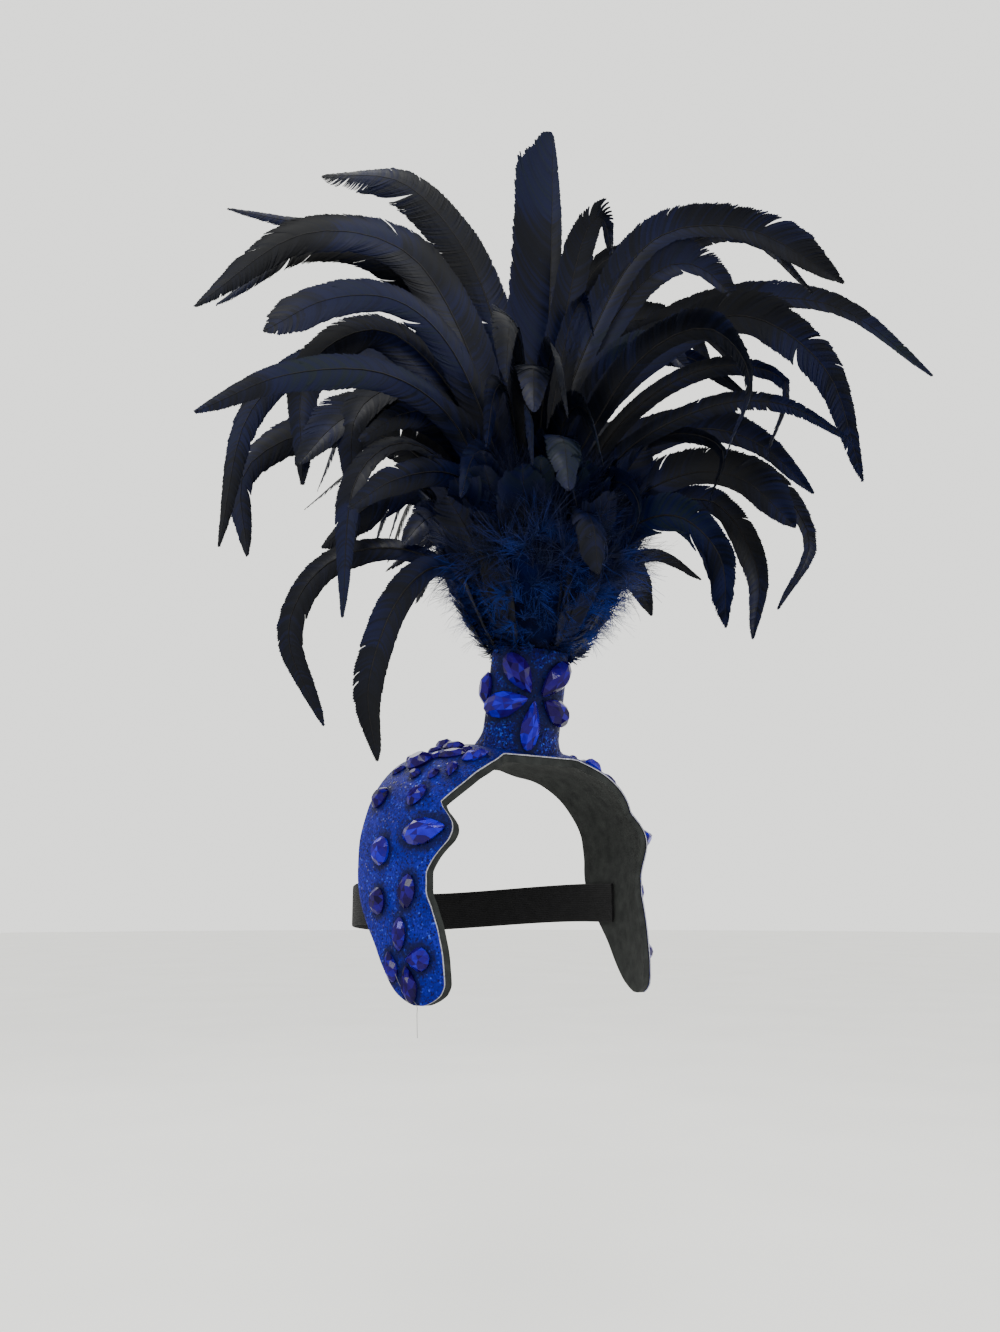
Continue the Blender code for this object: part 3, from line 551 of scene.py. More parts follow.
def arch(run, height):
    """Place and outward direction in the XZ plane, at a height above the inner face."""
    if run < PLATFORM_HALF:
        lean = 0.0
        place = Vector((run, 0.0, 0.0))
    else:
        lean = SLOPE_ANGLE
        slope = min(run - PLATFORM_HALF, SLOPE_RUN)
        place = Vector((PLATFORM_HALF + slope * math.cos(lean), 0.0, -slope * math.sin(lean)))
        rest = run - PLATFORM_HALF - SLOPE_RUN
        if rest > 0.0:
            turn = min(rest / SIDE_RADIUS, math.pi / 2.0 - SLOPE_ANGLE)
            lean = SLOPE_ANGLE + turn
            place.x += SIDE_RADIUS * (math.sin(lean) - math.sin(SLOPE_ANGLE))
            place.z -= SIDE_RADIUS * (math.cos(SLOPE_ANGLE) - math.cos(lean))
            place.z -= max(0.0, rest - SIDE_RADIUS * (math.pi / 2.0 - SLOPE_ANGLE))
    outward = Vector((math.sin(lean), 0.0, math.cos(lean)))
    return place + outward * height, outward


def fall(fore_aft):
    """How far the head's roundness takes the surface in, at a place fore and aft."""
    offset = fore_aft - CROWN_BACK
    top = CROWN_RADIUS - math.sqrt(CROWN_RADIUS ** 2 - CROWN_BACK ** 2)
    return CROWN_RADIUS - math.sqrt(CROWN_RADIUS ** 2 - offset ** 2) - top


def band_point(along, fore_aft, height):
    """A point of the band, given by its run from the crown, its place fore and aft and a height."""
    side = 1.0 if along >= 0.0 else -1.0
    run = abs(along)
    total = Vector()
    near = max(0.0, 1.0 - abs(run - PLATFORM_HALF) / (2.0 * CREASE_ROUND))
    for share in AVERAGE_SHARES:
        place, outward = arch(abs(run + share * CREASE_ROUND * near), height)
        total += place - outward * fall(fore_aft)
    total /= len(AVERAGE_SHARES)
    return Vector((side * total.x, fore_aft, total.z))


# %% [markdown]
# A monotone cubic keeps a curve inside its knots: its slope is nought at each high or low, so
# the lobe doesn't bulge past the table. At the notch the two sides keep slopes of their own,
# so its corner stays sharp. Scissors waver, and so does the edge, by a third of a millimetre.

# %% The outline as a curve
WAVER = 0.0003
FRONT_WAVES = 110.0
BACK_WAVES = 90.0


def knot_slope(table, column, index, before):
    """The curve's slope at a row of the table, from before it or from after it."""
    rows = table[max(0, index - 1):index + 2]
    steps = [(b[column] - a[column]) / (b[0] - a[0]) for a, b in zip(rows, rows[1:])]
    if len(steps) < 2:
        return steps[0] if index else 0.0
    if abs(table[index][0] - NOTCH) < 1e-6:
        return steps[0] if before else steps[1]
    if steps[0] * steps[1] <= 0.0:
        return 0.0
    return 2.0 * steps[0] * steps[1] / (steps[0] + steps[1])


def curve_value(table, column, share):
    """The smooth curve through a column of the table."""
    for index in range(len(table) - 1):
        low, high = table[index], table[index + 1]
        if share <= high[0] or index == len(table) - 2:
            width = high[0] - low[0]
            t = min(1.0, max(0.0, (share - low[0]) / width))
            start = knot_slope(table, column, index, False) * width
            end = knot_slope(table, column, index + 1, True) * width
            return (low[column] * (2 * t ** 3 - 3 * t ** 2 + 1) + start * (t ** 3 - 2 * t ** 2 + t)
                    + high[column] * (3 * t ** 2 - 2 * t ** 3) + end * (t ** 3 - t ** 2))
    return table[-1][column]


def band_edges(along):
    """Front and back edge, with the small waver of a cut made by hand."""
    share = abs(along) / LOBE_RUN
    front = curve_value(BAND_OUTLINE, 1, share) * FRONT_REACH
    back = curve_value(BAND_OUTLINE, 2, share) * BACK_REACH
    front += noise.noise(Vector((along * FRONT_WAVES, 0.0, 3.0))) * WAVER
    back -= noise.noise(Vector((along * BACK_WAVES, 5.0, 0.0))) * WAVER
    return front, back


# %% [markdown]
# A loft needs its rows of points where the outline turns most. Even steps would be too wide
# for the lobe's round end, so a sine crowds them there, and the notch and the platform's edge
# get rows of their own.

# %% Stations along the band
STATION_STEP = 0.0019
SMALLEST_STEP = 0.00045
CROWDING = 0.9


def stations():
    """Places along the whole band, closer at its ends and on its corners."""
    last = BAND_OUTLINE[-1][0] * LOBE_RUN
    count = round(last / STATION_STEP)
    half = {round(last * math.sin(0.5 * math.pi * k / count) ** CROWDING, 6)
            for k in range(count + 1)}
    half |= {round(NOTCH * LOBE_RUN, 6), PLATFORM_HALF}
    kept = []
    for place in sorted(half):
        if not kept or place - kept[-1] > SMALLEST_STEP:
            kept.append(place)
    return [-place for place in reversed(kept[1:])] + kept


along_places = stations()
print("stations along the band", len(along_places))

# %% [markdown]
# Every mesh made by hand needs the same few things: an object, faces that point outwards, and
# edges that are sharp only where the form is. Most of them are rings of points joined up, so
# one function gives the faces of them all. A tree of a piece's faces lets rays find its
# surface, which is how the other pieces are seated on it.

# %% Helpers for meshes
def make_object(name, points, faces, materials):
    mesh = bpy.data.meshes.new(name)
    mesh.from_pydata([tuple(p) for p in points], [], faces)
    for material in materials:
        mesh.materials.append(material)
    return new_object(name, mesh)


def face_out(mesh, sharp_angle=None):
    """Turns the faces of a closed mesh outwards and shades it smooth up to an angle."""
    sheet = bmesh.new()
    sheet.from_mesh(mesh)
    bmesh.ops.recalc_face_normals(sheet, faces=sheet.faces)
    sheet.to_mesh(mesh)
    sheet.free()
    if sharp_angle is not None:
        mesh.shade_smooth()
        mesh.set_sharp_from_angle(angle=math.radians(sharp_angle))


def ring_faces(rings, sides, closed=False):
    """Faces over rings of points, capped at both ends or closed from the last to the first."""
    faces = [] if closed else [tuple(reversed(range(sides)))]
    for ring in range(rings if closed else rings - 1):
        here, there = ring * sides, (ring + 1) % rings * sides
        for k in range(sides):
            after = (k + 1) % sides
            faces.append((here + k, here + after, there + after, there + k))
    if not closed:
        faces.append(tuple((rings - 1) * sides + k for k in range(sides)))
    return faces


def tree_of(item):
    """A tree of a piece's faces, to seat other pieces on."""
    sheet = bmesh.new()
    sheet.from_mesh(item.data)
    bmesh.ops.triangulate(sheet, faces=sheet.faces)
    made = BVHTree.FromBMesh(sheet)
    sheet.free()
    return made


# %% [markdown]
# The foam and the fabric are both lofted from the same rows: a top face, a bottom face and the
# cut edge that joins them. A flat sheet with a Solidify modifier could be bent over the head,
# but its edge would lean where the band curves. The fabric rolls down a little at its edge,
# and a noise on its top face alone gives it shallow puckers.

# %% Loft a sheet over the band
INNER_ROWS = 34
ROLL_ROWS = (0.0, 0.25, 0.6, 1.0, 2.0)
ROLL_DROP = 0.55
ROLL_FADE = 2.2
PUCKERS_PER_METRE = 75.0
SHEET_SHARP = 55


def across_shares(width, roll):
    """Shares of the width from front to back, with close rows within a roll of each edge."""
    near = [share * roll for share in ROLL_ROWS]
    inner = [2.0 * roll + (width - 4.0 * roll) * k / INNER_ROWS for k in range(1, INNER_ROWS)]
    rows = near + inner + [width - place for place in reversed(near)]
    return [place / width for place in rows]


def sheet_faces(rows, columns):
    """Quads of the two faces, then those of the cut edge, over two layers of points."""
    layer = rows * columns
    faces, edges = [], []
    for row in range(rows - 1):
        for k in range(columns - 1):
            corner = row * columns + k
            quad = (corner, corner + 1, corner + columns + 1, corner + columns)
            faces += [quad, tuple(layer + index for index in reversed(quad))]
        for corner in (row * columns, row * columns + columns - 1):
            edges.append((corner, corner + columns, layer + corner + columns, layer + corner))
    for row in (0, rows - 1):
        for k in range(columns - 1):
            corner = row * columns + k
            edges.append((corner, corner + 1, layer + corner + 1, layer + corner))
    return faces, edges


def loft_sheet(name, low, high, trim, roll, pucker, materials):
    """A sheet over the outline between two heights; its cut edge has the last material."""
    points = []
    for top in (True, False):
        for along in along_places:
            front, back = band_edges(along)
            front, back = front + trim, back - trim
            width = back - front
            for share in across_shares(width, min(roll, width / 8.0)):
                fore_aft = front + width * share
                height = low
                if top:
                    edge = min(share, 1.0 - share) * width
                    spot = Vector((along, fore_aft, 0.0))
                    height = high - ROLL_DROP * roll * math.exp(-(edge / roll) * ROLL_FADE)
                    height += pucker * noise.fractal(spot * PUCKERS_PER_METRE, 0.9, 2.0, 3)
                points.append(band_point(along, fore_aft, height))
    rows = len(along_places)
    faces, edges = sheet_faces(rows, len(points) // (2 * rows))
    item = make_object(name, points, faces + edges, materials)
    for polygon in item.data.polygons[len(faces):]:
        polygon.material_index = len(materials) - 1
    face_out(item.data, SHEET_SHARP)
    return item


# %% [markdown]
# The fabric overhangs the foam by 0.4 mm all round, as it does when it is glued on first
# and trimmed after.

# %% Make the band
FABRIC_CLEARANCE = 0.0002
FABRIC_ROLL = 0.0009
FABRIC_PUCKER = 0.00016
FOAM_ROLL = 0.0005

cover = loft_sheet("fabric_band", FOAM_THICKNESS + FABRIC_CLEARANCE, COVER_TOP, 0.0,
                   FABRIC_ROLL, FABRIC_PUCKER, [glitter, backing])
shell = loft_sheet("foam_band", 0.0, FOAM_THICKNESS, COVER_OVERHANG, FOAM_ROLL, 0.0, [foam])
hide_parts("glitter_cover")
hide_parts("foam_shell")
for piece, slot in ((cover, "glitter_fabric"), (shell, "foam")):
    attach(piece, "root")
print("band faces", len(cover.data.polygons), len(shell.data.polygons))
cover_tree = tree_of(cover)

# %% [markdown]
# ## The elastic
# A flat elastic goes round the back of the head, and its ends are glued inside the foam. Its
# path follows the lobe's inner face, then half an ellipse that dips a little at the back, as
# an elastic settles under the swell of the head.

# %% The strap's path
STRAP_WIDTH = 0.0220
STRAP_THICKNESS = 0.0012
STRAP_DROP = 0.0800
STRAP_BACK = 0.0860
STRAP_OVERLAP = 0.0200
STRAP_DIP = 0.0060
STRAP_STATIONS = 150
STRAP_END_STATIONS = 12


def strap_path():
    inner, _ = arch(LOBE_RUN, 0.0)
    half_width = inner.x - GAP - STRAP_THICKNESS / 2.0
    path = []
    for k in range(STRAP_END_STATIONS):
        fore_aft = CROWN_BACK - STRAP_OVERLAP * (1.0 - k / STRAP_END_STATIONS)
        path.append(Vector((half_width - fall(fore_aft) + fall(CROWN_BACK), fore_aft, 0.0)))
    ends = [Vector((-p.x, p.y, p.z)) for p in reversed(path)]
    for k in range(STRAP_STATIONS + 1):
        turn = math.pi * k / STRAP_STATIONS
        dip = STRAP_DIP * math.sin(turn) ** 2
        path.append(Vector((half_width * math.cos(turn),
                            CROWN_BACK + STRAP_BACK * math.sin(turn), -dip)))
    return path + ends


# %% [markdown]
# The section is swept along the path. The strap stands upright all the way, so a ring needs
# only the path's direction as seen from above. A curve with a bevel would do nearly the same,
# but it gives no UV map in metres, which the weave needs. A slight wave stops the strap from
# looking like a machined ring.

# %% Sweep the strap
STRAP_WAVE = 0.00035
STRAP_WAVES_PER_METRE = 45.0
STRAP_SHARP = 60
# shares of the width and of the thickness, round the section
STRAP_SECTION = [(-0.5, 0.0), (-0.48, 0.42), (-0.42, 0.5), (-0.2, 0.5), (0.0, 0.5), (0.2, 0.5),
                 (0.42, 0.5), (0.48, 0.42), (0.5, 0.0), (0.48, -0.42), (0.42, -0.5),
                 (0.2, -0.5), (0.0, -0.5), (-0.2, -0.5), (-0.42, -0.5), (-0.48, -0.42)]


def direction(path, k):
    """The way a path runs at its point k."""
    return (path[min(k + 1, len(path) - 1)] - path[max(k - 1, 0)]).normalized()


def make_strap(path):
    """The strap's piece and its length."""
    size = len(STRAP_SECTION)
    points = []
    marks = [0.0]
    for k, place in enumerate(path):
        tangent = direction(path, k)
        out = Vector((tangent.y, -tangent.x, 0.0)).normalized()
        if k:
            marks.append(marks[-1] + (place - path[k - 1]).length)
        spot = Vector((marks[-1] * STRAP_WAVES_PER_METRE, 0.0, 7.0))
        wave = STRAP_WAVE * noise.noise(spot)
        for up, through in STRAP_SECTION:
            points.append(place + out * (through * STRAP_THICKNESS + wave)
                          + Vector((0.0, 0.0, up * STRAP_WIDTH - STRAP_DROP)))
    made = make_object("elastic_band", points, ring_faces(len(path), size), [elastic])
    weave = made.data.uv_layers.new(name="weave")
    for loop in made.data.loops:
        ring, k = divmod(loop.vertex_index, size)
        weave.data[loop.index].uv = (marks[ring], STRAP_SECTION[k][0] * STRAP_WIDTH)
    face_out(made.data, STRAP_SHARP)
    return made, marks[-1]


strap, strap_run = make_strap(strap_path())
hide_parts("elastic_strap")
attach(strap, "root")
print("strap", round(strap_run, 3), "m long")

# %% [markdown]
# ## The column
# The tube stands on the platform and leans forward, square to the head's curve. Its place
# comes from the band's own sizes, so it would follow the band if that grew. One function
# gives a point on it by turn and rise, and all that sits on the column uses it.

# %% Sizes of the column
COLUMN_HALF_WIDTH = 0.0225
COLUMN_HALF_DEPTH = 0.0180
COLUMN_WALL = 0.0020
COLUMN_HEIGHT = 0.0550
COLUMN_SETBACK = 0.0008


def column_frame():
    """Foot, axis and the two cross directions of the column."""
    forward = BAND_OUTLINE[0][1] * FRONT_REACH + COLUMN_HALF_DEPTH + COLUMN_SETBACK
    slope = math.asin((CROWN_BACK - forward) / CROWN_RADIUS)
    foot = Vector((0.0, forward, COVER_TOP - fall(forward)))
    axis = Vector((0.0, -math.sin(slope), math.cos(slope)))
    depth = Vector((0.0, math.cos(slope), math.sin(slope)))
    return foot, axis, Vector((1.0, 0.0, 0.0)), depth


def column_point(turn, rise, extra=0.0):
    """A point of the column, or as far outside it as extra says."""
    foot, axis, across, depth = column_frame()
    return (foot + axis * rise + across * (COLUMN_HALF_WIDTH + extra) * math.cos(turn)
            + depth * (COLUMN_HALF_DEPTH + extra) * math.sin(turn))


# %% [markdown]
# Fabric was wrapped round the tube by hand, so it has soft creases, a lapped seam at the back
# and a foot that spreads a little. The noise runs sixteen units round the column and only one
# up it, so its creases stand upright. The lap is a step that dies away past the seam.

# %% Creases, seam and foot
CREASE_DEPTH = 0.00042
CREASES_ROUND = 2.6
CREASES_UP = 22.0
SEAM_TURN = math.radians(98.0)
SEAM_RISE = 0.0006
SEAM_FADE = 0.42
SKIRT_FLARE = 0.0035
SKIRT_HEIGHT = 0.0090
SKIRT_CURVE = 1.8


def crease(turn, rise):
    """How far the wrapped fabric stands out at a turn and a rise: creases and the seam's lap."""
    spot = Vector((math.cos(turn) * CREASES_ROUND, math.sin(turn) * CREASES_ROUND,
                   rise * CREASES_UP))
    out = CREASE_DEPTH * noise.fractal(spot, 0.8, 2.0, 3)
    past_seam = (turn - SEAM_TURN) % (2.0 * math.pi)
    if past_seam < SEAM_FADE:
        out += SEAM_RISE * (1.0 - (past_seam / SEAM_FADE) ** 2)
    flare = max(0.0, 1.0 - rise / SKIRT_HEIGHT) ** SKIRT_CURVE
    return out + SKIRT_FLARE * flare * min(1.0, 1.0 + math.sin(turn))


# %% [markdown]
# The tube has a wall, so its rings go up the outside and the last joins the first inside. Its
# foot isn't cut to a formula: rays find the band's fabric under each point, and the foot lies
# a tenth of a millimetre off it.

# %% Make the column
COLUMN_SIDES = 128
COLUMN_RINGS = 44
COLUMN_SHARP = 60
FOOT_CLEARANCE = 0.0001


def make_column():
    _, axis, _, _ = column_frame()
    turns = [2.0 * math.pi * k / COLUMN_SIDES for k in range(COLUMN_SIDES)]
    rings = []
    for extra in (-COLUMN_WALL, 0.0):
        ring = []
        for turn in turns:
            out = extra + (crease(turn, 0.0) if extra == 0.0 else 0.0)
            start = column_point(turn, COLUMN_HEIGHT, out)
            ring.append(cover_tree.ray_cast(start, -axis)[0] + axis * FOOT_CLEARANCE)
        rings.append(ring)
    for k in range(1, COLUMN_RINGS + 1):
        rise = COLUMN_HEIGHT * k / COLUMN_RINGS
        rings.append([column_point(turn, rise, crease(turn, rise)) for turn in turns])
    rings.append([column_point(turn, COLUMN_HEIGHT, -COLUMN_WALL) for turn in turns])
    item = make_object("fabric_column", [p for ring in rings for p in ring],
                       ring_faces(len(rings), COLUMN_SIDES, closed=True), [dark_glitter])
    face_out(item.data, COLUMN_SHARP)
    return item


column = make_column()
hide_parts("column_cover")
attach(column, "root")
column_tree = tree_of(column)

# %% [markdown]
# ## The stones
# The stones are acrylic ones on flat backs, in three cuts: oval, pear and navette. Three
# tables say where each sits, in shares of the band's run and width or of the column's height,
# how it is turned, its size as shares of one full stone, and how bright the painted
# reflection of its foil is.

# %% Tables of the stones
STONE_LENGTH = 0.0250
STONE_WIDTH = 0.0135
FLOWER_TURN = math.radians(-107.0)
FLOWER_HEIGHT = 0.52
FLOWER_RADIUS = 0.0152
PETAL_SIZE = 1.10
SEEN_SIZE = 1.06

# name, cut, along, across, turn, length, width, painted glint of the foil
BAND_STONES = [
    ("cheek_pear", "pear", 0.528, 0.210, 78, 1.00, 1.00, 0.74),
    ("brow_oval", "oval", 0.582, 0.600, 8, 0.56, 0.84, 0.80),
    ("notch_oval", "oval", 0.424, 0.270, 24, 0.50, 0.68, 0.46),
    ("rear_oval", "oval", 0.433, 0.780, 10, 0.48, 0.74, 0.34),
    ("temple_navette", "navette", 0.694, 0.200, 8, 0.64, 0.76, 0.34),
    ("temple_oval", "oval", 0.721, 0.640, -6, 0.52, 0.74, 0.30),
    ("ear_top_navette", "navette", 0.810, 0.476, 180, 0.62, 0.60, 0.50),
    ("ear_front_pear", "pear", 0.876, 0.310, -92, 0.57, 0.84, 0.55),
    ("ear_back_pear", "pear", 0.898, 0.790, -20, 0.58, 0.60, 0.52),
    ("ear_low_pear", "pear", 0.942, 0.570, -16, 0.68, 0.68, 0.30),
    ("shoulder_oval", "oval", 0.300, 0.580, 62, 0.60, 0.90, 0.42),
    ("shoulder_bead", "oval", 0.352, 0.500, 90, 0.30, 0.46, 0.30),
    ("crown_pear", "pear", 0.227, 0.130, 20, 0.58, 0.62, 0.66),
    ("crown_navette", "navette", 0.246, 0.330, 62, 0.66, 0.52, 0.30),
    ("crown_leaf", "navette", 0.188, 0.460, 80, 0.62, 0.54, 0.32),
    ("crown_oval", "oval", 0.160, 0.660, 100, 0.56, 0.70, 0.40),
    ("crown_drop", "pear", 0.313, 0.180, 150, 0.46, 0.50, 0.36),
]

# name, way from the flower's middle, length, width, painted glint of the foil
COLUMN_PETALS = [
    ("upper_left", 128, 0.90, 0.96, 0.42),
    ("upper_right", 46, 0.98, 1.00, 0.34),
    ("lower_right", -24, 0.90, 0.96, 0.36),
    ("bottom", -92, 0.98, 0.78, 0.66),
    ("lower_left", 199, 0.92, 0.98, 0.76),
]

# name, way round, height, length, width, painted glint of the foil
COLUMN_OVALS = [
    ("flank_right", 163, 0.56, 0.72, 0.80, 0.46),
    ("flank_left", 12, 0.50, 0.72, 0.80, 0.40),
]

# %% [markdown]
# A stone is a brilliant cut: a girdle of sixteen points, and above it kite facets, star facets
# and a table. The same facets serve all three cuts, because only the girdle's outline
# changes. The table is cut into thin wedges, each with its own painted reflection of the
# foil below it.

# %% Outline and facets of a stone
GIRDLE_POINTS = 16
GIRDLE_RISE = 0.24
BACK_SHARE = 0.95
BACK_RISE = 0.05
SUNK_SHARE = 0.90
SUNK_DEPTH = 0.0007
TABLE_SHARE = 0.50
KITE_SHARE = 0.79
KITE_RISE = 0.66
PEAR_START = -0.2
PEAR_TAPER = 0.62
PEAR_CURVE = 1.3
NAVETTE_WAIST = 0.28


def stone_outline(cut, length, width):
    """Points of the girdle, with the stone's point, if it has one, along +X."""
    outline = []
    for k in range(GIRDLE_POINTS):
        turn = 2.0 * math.pi * k / GIRDLE_POINTS
        x, y = math.cos(turn), math.sin(turn)
        if cut == "pear" and x > PEAR_START:
            y *= 1.0 - PEAR_TAPER * ((x - PEAR_START) / (1.0 - PEAR_START)) ** PEAR_CURVE
        if cut == "navette":
            y *= 1.0 - NAVETTE_WAIST + NAVETTE_WAIST * abs(y)
        outline.append(Vector((x * length / 2.0, y * width / 2.0)))
    return outline


def stone_layers(outline, rise):
    """Rings of a stone as (place, height): sunk in glue, back, girdle, kites and table."""
    low = [(p * SUNK_SHARE, -SUNK_DEPTH) for p in outline]
    back = [(p * BACK_SHARE, rise * BACK_RISE) for p in outline]
    girdle = [(p, rise * GIRDLE_RISE) for p in outline]
    kites = [(outline[k] * KITE_SHARE, rise * KITE_RISE) for k in range(1, GIRDLE_POINTS, 2)]
    table = [(outline[k] * TABLE_SHARE, rise) for k in range(0, GIRDLE_POINTS, 2)]
    return low, back, girdle, kites, table


def stone_faces():
    """Faces over the rings of stone_layers, with one point more in the table's middle."""
    n, half = GIRDLE_POINTS, GIRDLE_POINTS // 2
    girdle, kites, table = 2 * n, 3 * n, 3 * n + half
    faces = [tuple(reversed(range(n)))]
    for ring in (0, n):
        for k in range(n):
            after = (k + 1) % n
            faces.append((ring + k, ring + after, ring + n + after, ring + n + k))
    for k in range(half):
        after, before = (k + 1) % half, (k - 1) % half
        even, odd, following = 2 * k, 2 * k + 1, (2 * k + 2) % n
        faces.append((girdle + even, girdle + odd, kites + k))
        faces.append((girdle + odd, girdle + following, kites + k))
        faces.append((girdle + even, kites + k, table + k, kites + before))
        faces.append((table + k, kites + k, table + after))
    middle = table + half
    faces += [(table + k, table + (k + 1) % half, middle) for k in range(half)]
    return faces


# %% [markdown]
# A flat stone on a curved band rests on the highest fabric under it, and glue fills the rest.
# Rays from above find that height. Each stone also leaves its footprint in a list, for the
# glue round it, and each of its facets gets a tone by lot: a painted reflection of its foil.

# %% Set one stone
STONE_RISE = 0.42
# How far a facet's painted reflection strays from the stone's own value.
GLINT_SPREAD = 0.34
footprints = []


def resting_height(tree, seat, aside, outline, reach):
    """How far above its seat a flat stone comes to rest."""
    place, normal, towards = seat
    lift = 0.0
    for share in (0.0, 0.5, 1.0):
        for p in outline:
            start = place + (towards * p.x + aside * p.y) * share + normal * reach
            hit = tree.ray_cast(start, -normal, 2.0 * reach)[0]
            if hit is not None:
                lift = max(lift, (hit - place).dot(normal))
    return lift


def make_stone(name, cut, seat, tree, length, width, fire, lots):
    """A stone on a seat: place, outward direction and the way its point looks."""
    place, normal, towards = seat
    normal = normal.normalized()
    towards = (towards - normal * towards.dot(normal)).normalized()
    aside = normal.cross(towards)
    outline = stone_outline(cut, length, width)
    lift = resting_height(tree, (place, normal, towards), aside, outline, length)
    rise = width * STONE_RISE
    points = []
    for ring in stone_layers(outline, rise):
        for p, height in ring:
            points.append(place + normal * (lift + height) + towards * p.x + aside * p.y)
    points.append(place + normal * (lift + rise))
    footprints.append((place, towards * 2.0 / length, aside * 2.0 / width))
    item = make_object(name, points, stone_faces(), [stone])
    face_out(item.data)
    # Painted reflection: each facet gets a brightness for the part of the foil it would mirror.
    tones = item.data.attributes.new("fire", "FLOAT", "FACE")
    for entry in tones.data:
        entry.value = min(1.0, max(0.0, fire + lots.uniform(-GLINT_SPREAD, GLINT_SPREAD)))
    return item


# %% [markdown]
# A seat is a place, the direction out of the fabric and the way the stone looks. On the band
# the place comes from two shares, and on the column from a turn and a rise. The directions
# are read from neighbouring points of the same surface, and a ray from outside then finds
# the fabric itself, with its puckers.

# %% Seats on the band and the column
SEAT_STEP = 0.001
SEAT_TURN_STEP = 0.01
RAY_START = 0.02
RAY_RUN = 0.05


def surface_seat(tree, point, outward):
    return tree.ray_cast(point + outward * RAY_START, -outward, RAY_RUN)[0]


def band_seat(side, along_share, across, turn):
    along = side * along_share * LOBE_RUN
    front, back = band_edges(along)
    fore_aft = front + (back - front) * across
    middle = band_point(along, fore_aft, COVER_TOP)
    up = middle - band_point(along + side * SEAT_STEP, fore_aft, COVER_TOP)
    forward = middle - band_point(along, fore_aft + SEAT_STEP, COVER_TOP)
    outward = up.cross(forward) * side
    straight = arch(abs(along), 0.0)[1]
    if outward.dot(Vector((side * straight.x, 0.0, straight.z))) < 0.0:
        outward = -outward
    outward.normalize()
    angle = math.radians(turn)
    towards = up.normalized() * math.cos(angle) + forward.normalized() * math.sin(angle)
    return surface_seat(cover_tree, middle, outward), outward, towards


def column_seat(turn, rise):
    """The place, the direction outwards, the way round the column and the way up it."""
    _, axis, _, _ = column_frame()
    around = (column_point(turn + SEAT_TURN_STEP, rise) - column_point(turn, rise)).normalized()
    outward = around.cross(axis).normalized()
    return surface_seat(column_tree, column_point(turn, rise), outward), outward, around, axis


# %% [markdown]
# The stones of the band are made twice, on the right and on the left. The flower's petals are
# laid out round its middle with their points inwards. One random generator gives all the
# facets their tones, so the stones always come in the same order.

# %% Make the stones
STONE_SEED = 5


def band_stones(lots):
    for name, cut, along, across, turn, length, width, fire in BAND_STONES:
        for side, side_name in ((-1.0, "right"), (1.0, "left")):
            seat = band_seat(side, along, across, turn)
            yield f"{side_name}_{name}", make_stone(
                f"gem_{side_name}_{name}", cut, seat, cover_tree,
                length * SEEN_SIZE * STONE_LENGTH, width * SEEN_SIZE * STONE_WIDTH, fire, lots)


def flower_stones(lots):
    radius = (COLUMN_HALF_WIDTH + COLUMN_HALF_DEPTH) / 2.0
    for name, petal, length, width, fire in COLUMN_PETALS:
        angle = math.radians(petal)
        turn = FLOWER_TURN + FLOWER_RADIUS * math.cos(angle) / radius
        rise = COLUMN_HEIGHT * FLOWER_HEIGHT + FLOWER_RADIUS * math.sin(angle)
        place, outward, around, up = column_seat(turn, rise)
        towards = -around * math.cos(angle) - up * math.sin(angle)
        yield f"flower_{name}", make_stone(
            f"gem_flower_{name}", "pear", (place, outward, towards), column_tree,
            length * PETAL_SIZE * STONE_LENGTH, width * PETAL_SIZE * STONE_WIDTH, fire, lots)


def flank_stones(lots):
    for name, degrees, height, length, width, fire in COLUMN_OVALS:
        place, outward, _, up = column_seat(math.radians(degrees), COLUMN_HEIGHT * height)
        yield name, make_stone(f"gem_{name}", "oval", (place, outward, up), column_tree,
                               length * STONE_LENGTH, width * STONE_WIDTH, fire, lots)


def make_stones():
    """All stones, each with the name of the solid that it stands for."""
    lots = random.Random(STONE_SEED)
    return list(band_stones(lots)) + list(flower_stones(lots)) + list(flank_stones(lots))


for node_name, gem in make_stones():
    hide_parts(f"stone_{node_name}")
    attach(gem, "root")
print("stones", len(footprints))

# %% [markdown]
# Between the large stones of the crown lie small ones, too small to be pieces of their own.
# They are cut and seated like the others, and joined to one mesh.

# %% Small stones over the crown
# cut, along, across, turn, length, width
SMALL_STONES = [
    ("oval", 0.200, 0.280, 10, 0.26, 0.38),
    ("oval", 0.265, 0.470, 40, 0.30, 0.40),
    ("navette", 0.215, 0.620, 75, 0.40, 0.36),
    ("oval", 0.345, 0.300, 15, 0.30, 0.42),
    ("navette", 0.330, 0.800, 60, 0.40, 0.40),
    ("pear", 0.270, 0.800, 110, 0.38, 0.44),
]
# Painted reflection of the small stones' foil, spread by lot for each facet.
SMALL_GLINT = 0.40
SMALL_SEED = 12


def make_small_stones():
    lots = random.Random(SMALL_SEED)
    made = []
    for cut, along, across, turn, length, width in SMALL_STONES:
        for side in (-1.0, 1.0):
            seat = band_seat(side, along, across, turn)
            made.append(make_stone("gem_small", cut, seat, cover_tree, length * STONE_LENGTH,
                                   width * STONE_WIDTH, SMALL_GLINT, lots))
    sheet = bmesh.new()
    for item in made:
        sheet.from_mesh(item.data)
    whole = make_object("gems_small", [], [], [stone])
    sheet.to_mesh(whole.data)
    sheet.free()
    for item in made:
        bpy.data.objects.remove(item, do_unlink=True)
    return whole


small_stones = make_small_stones()
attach(small_stones, "root")
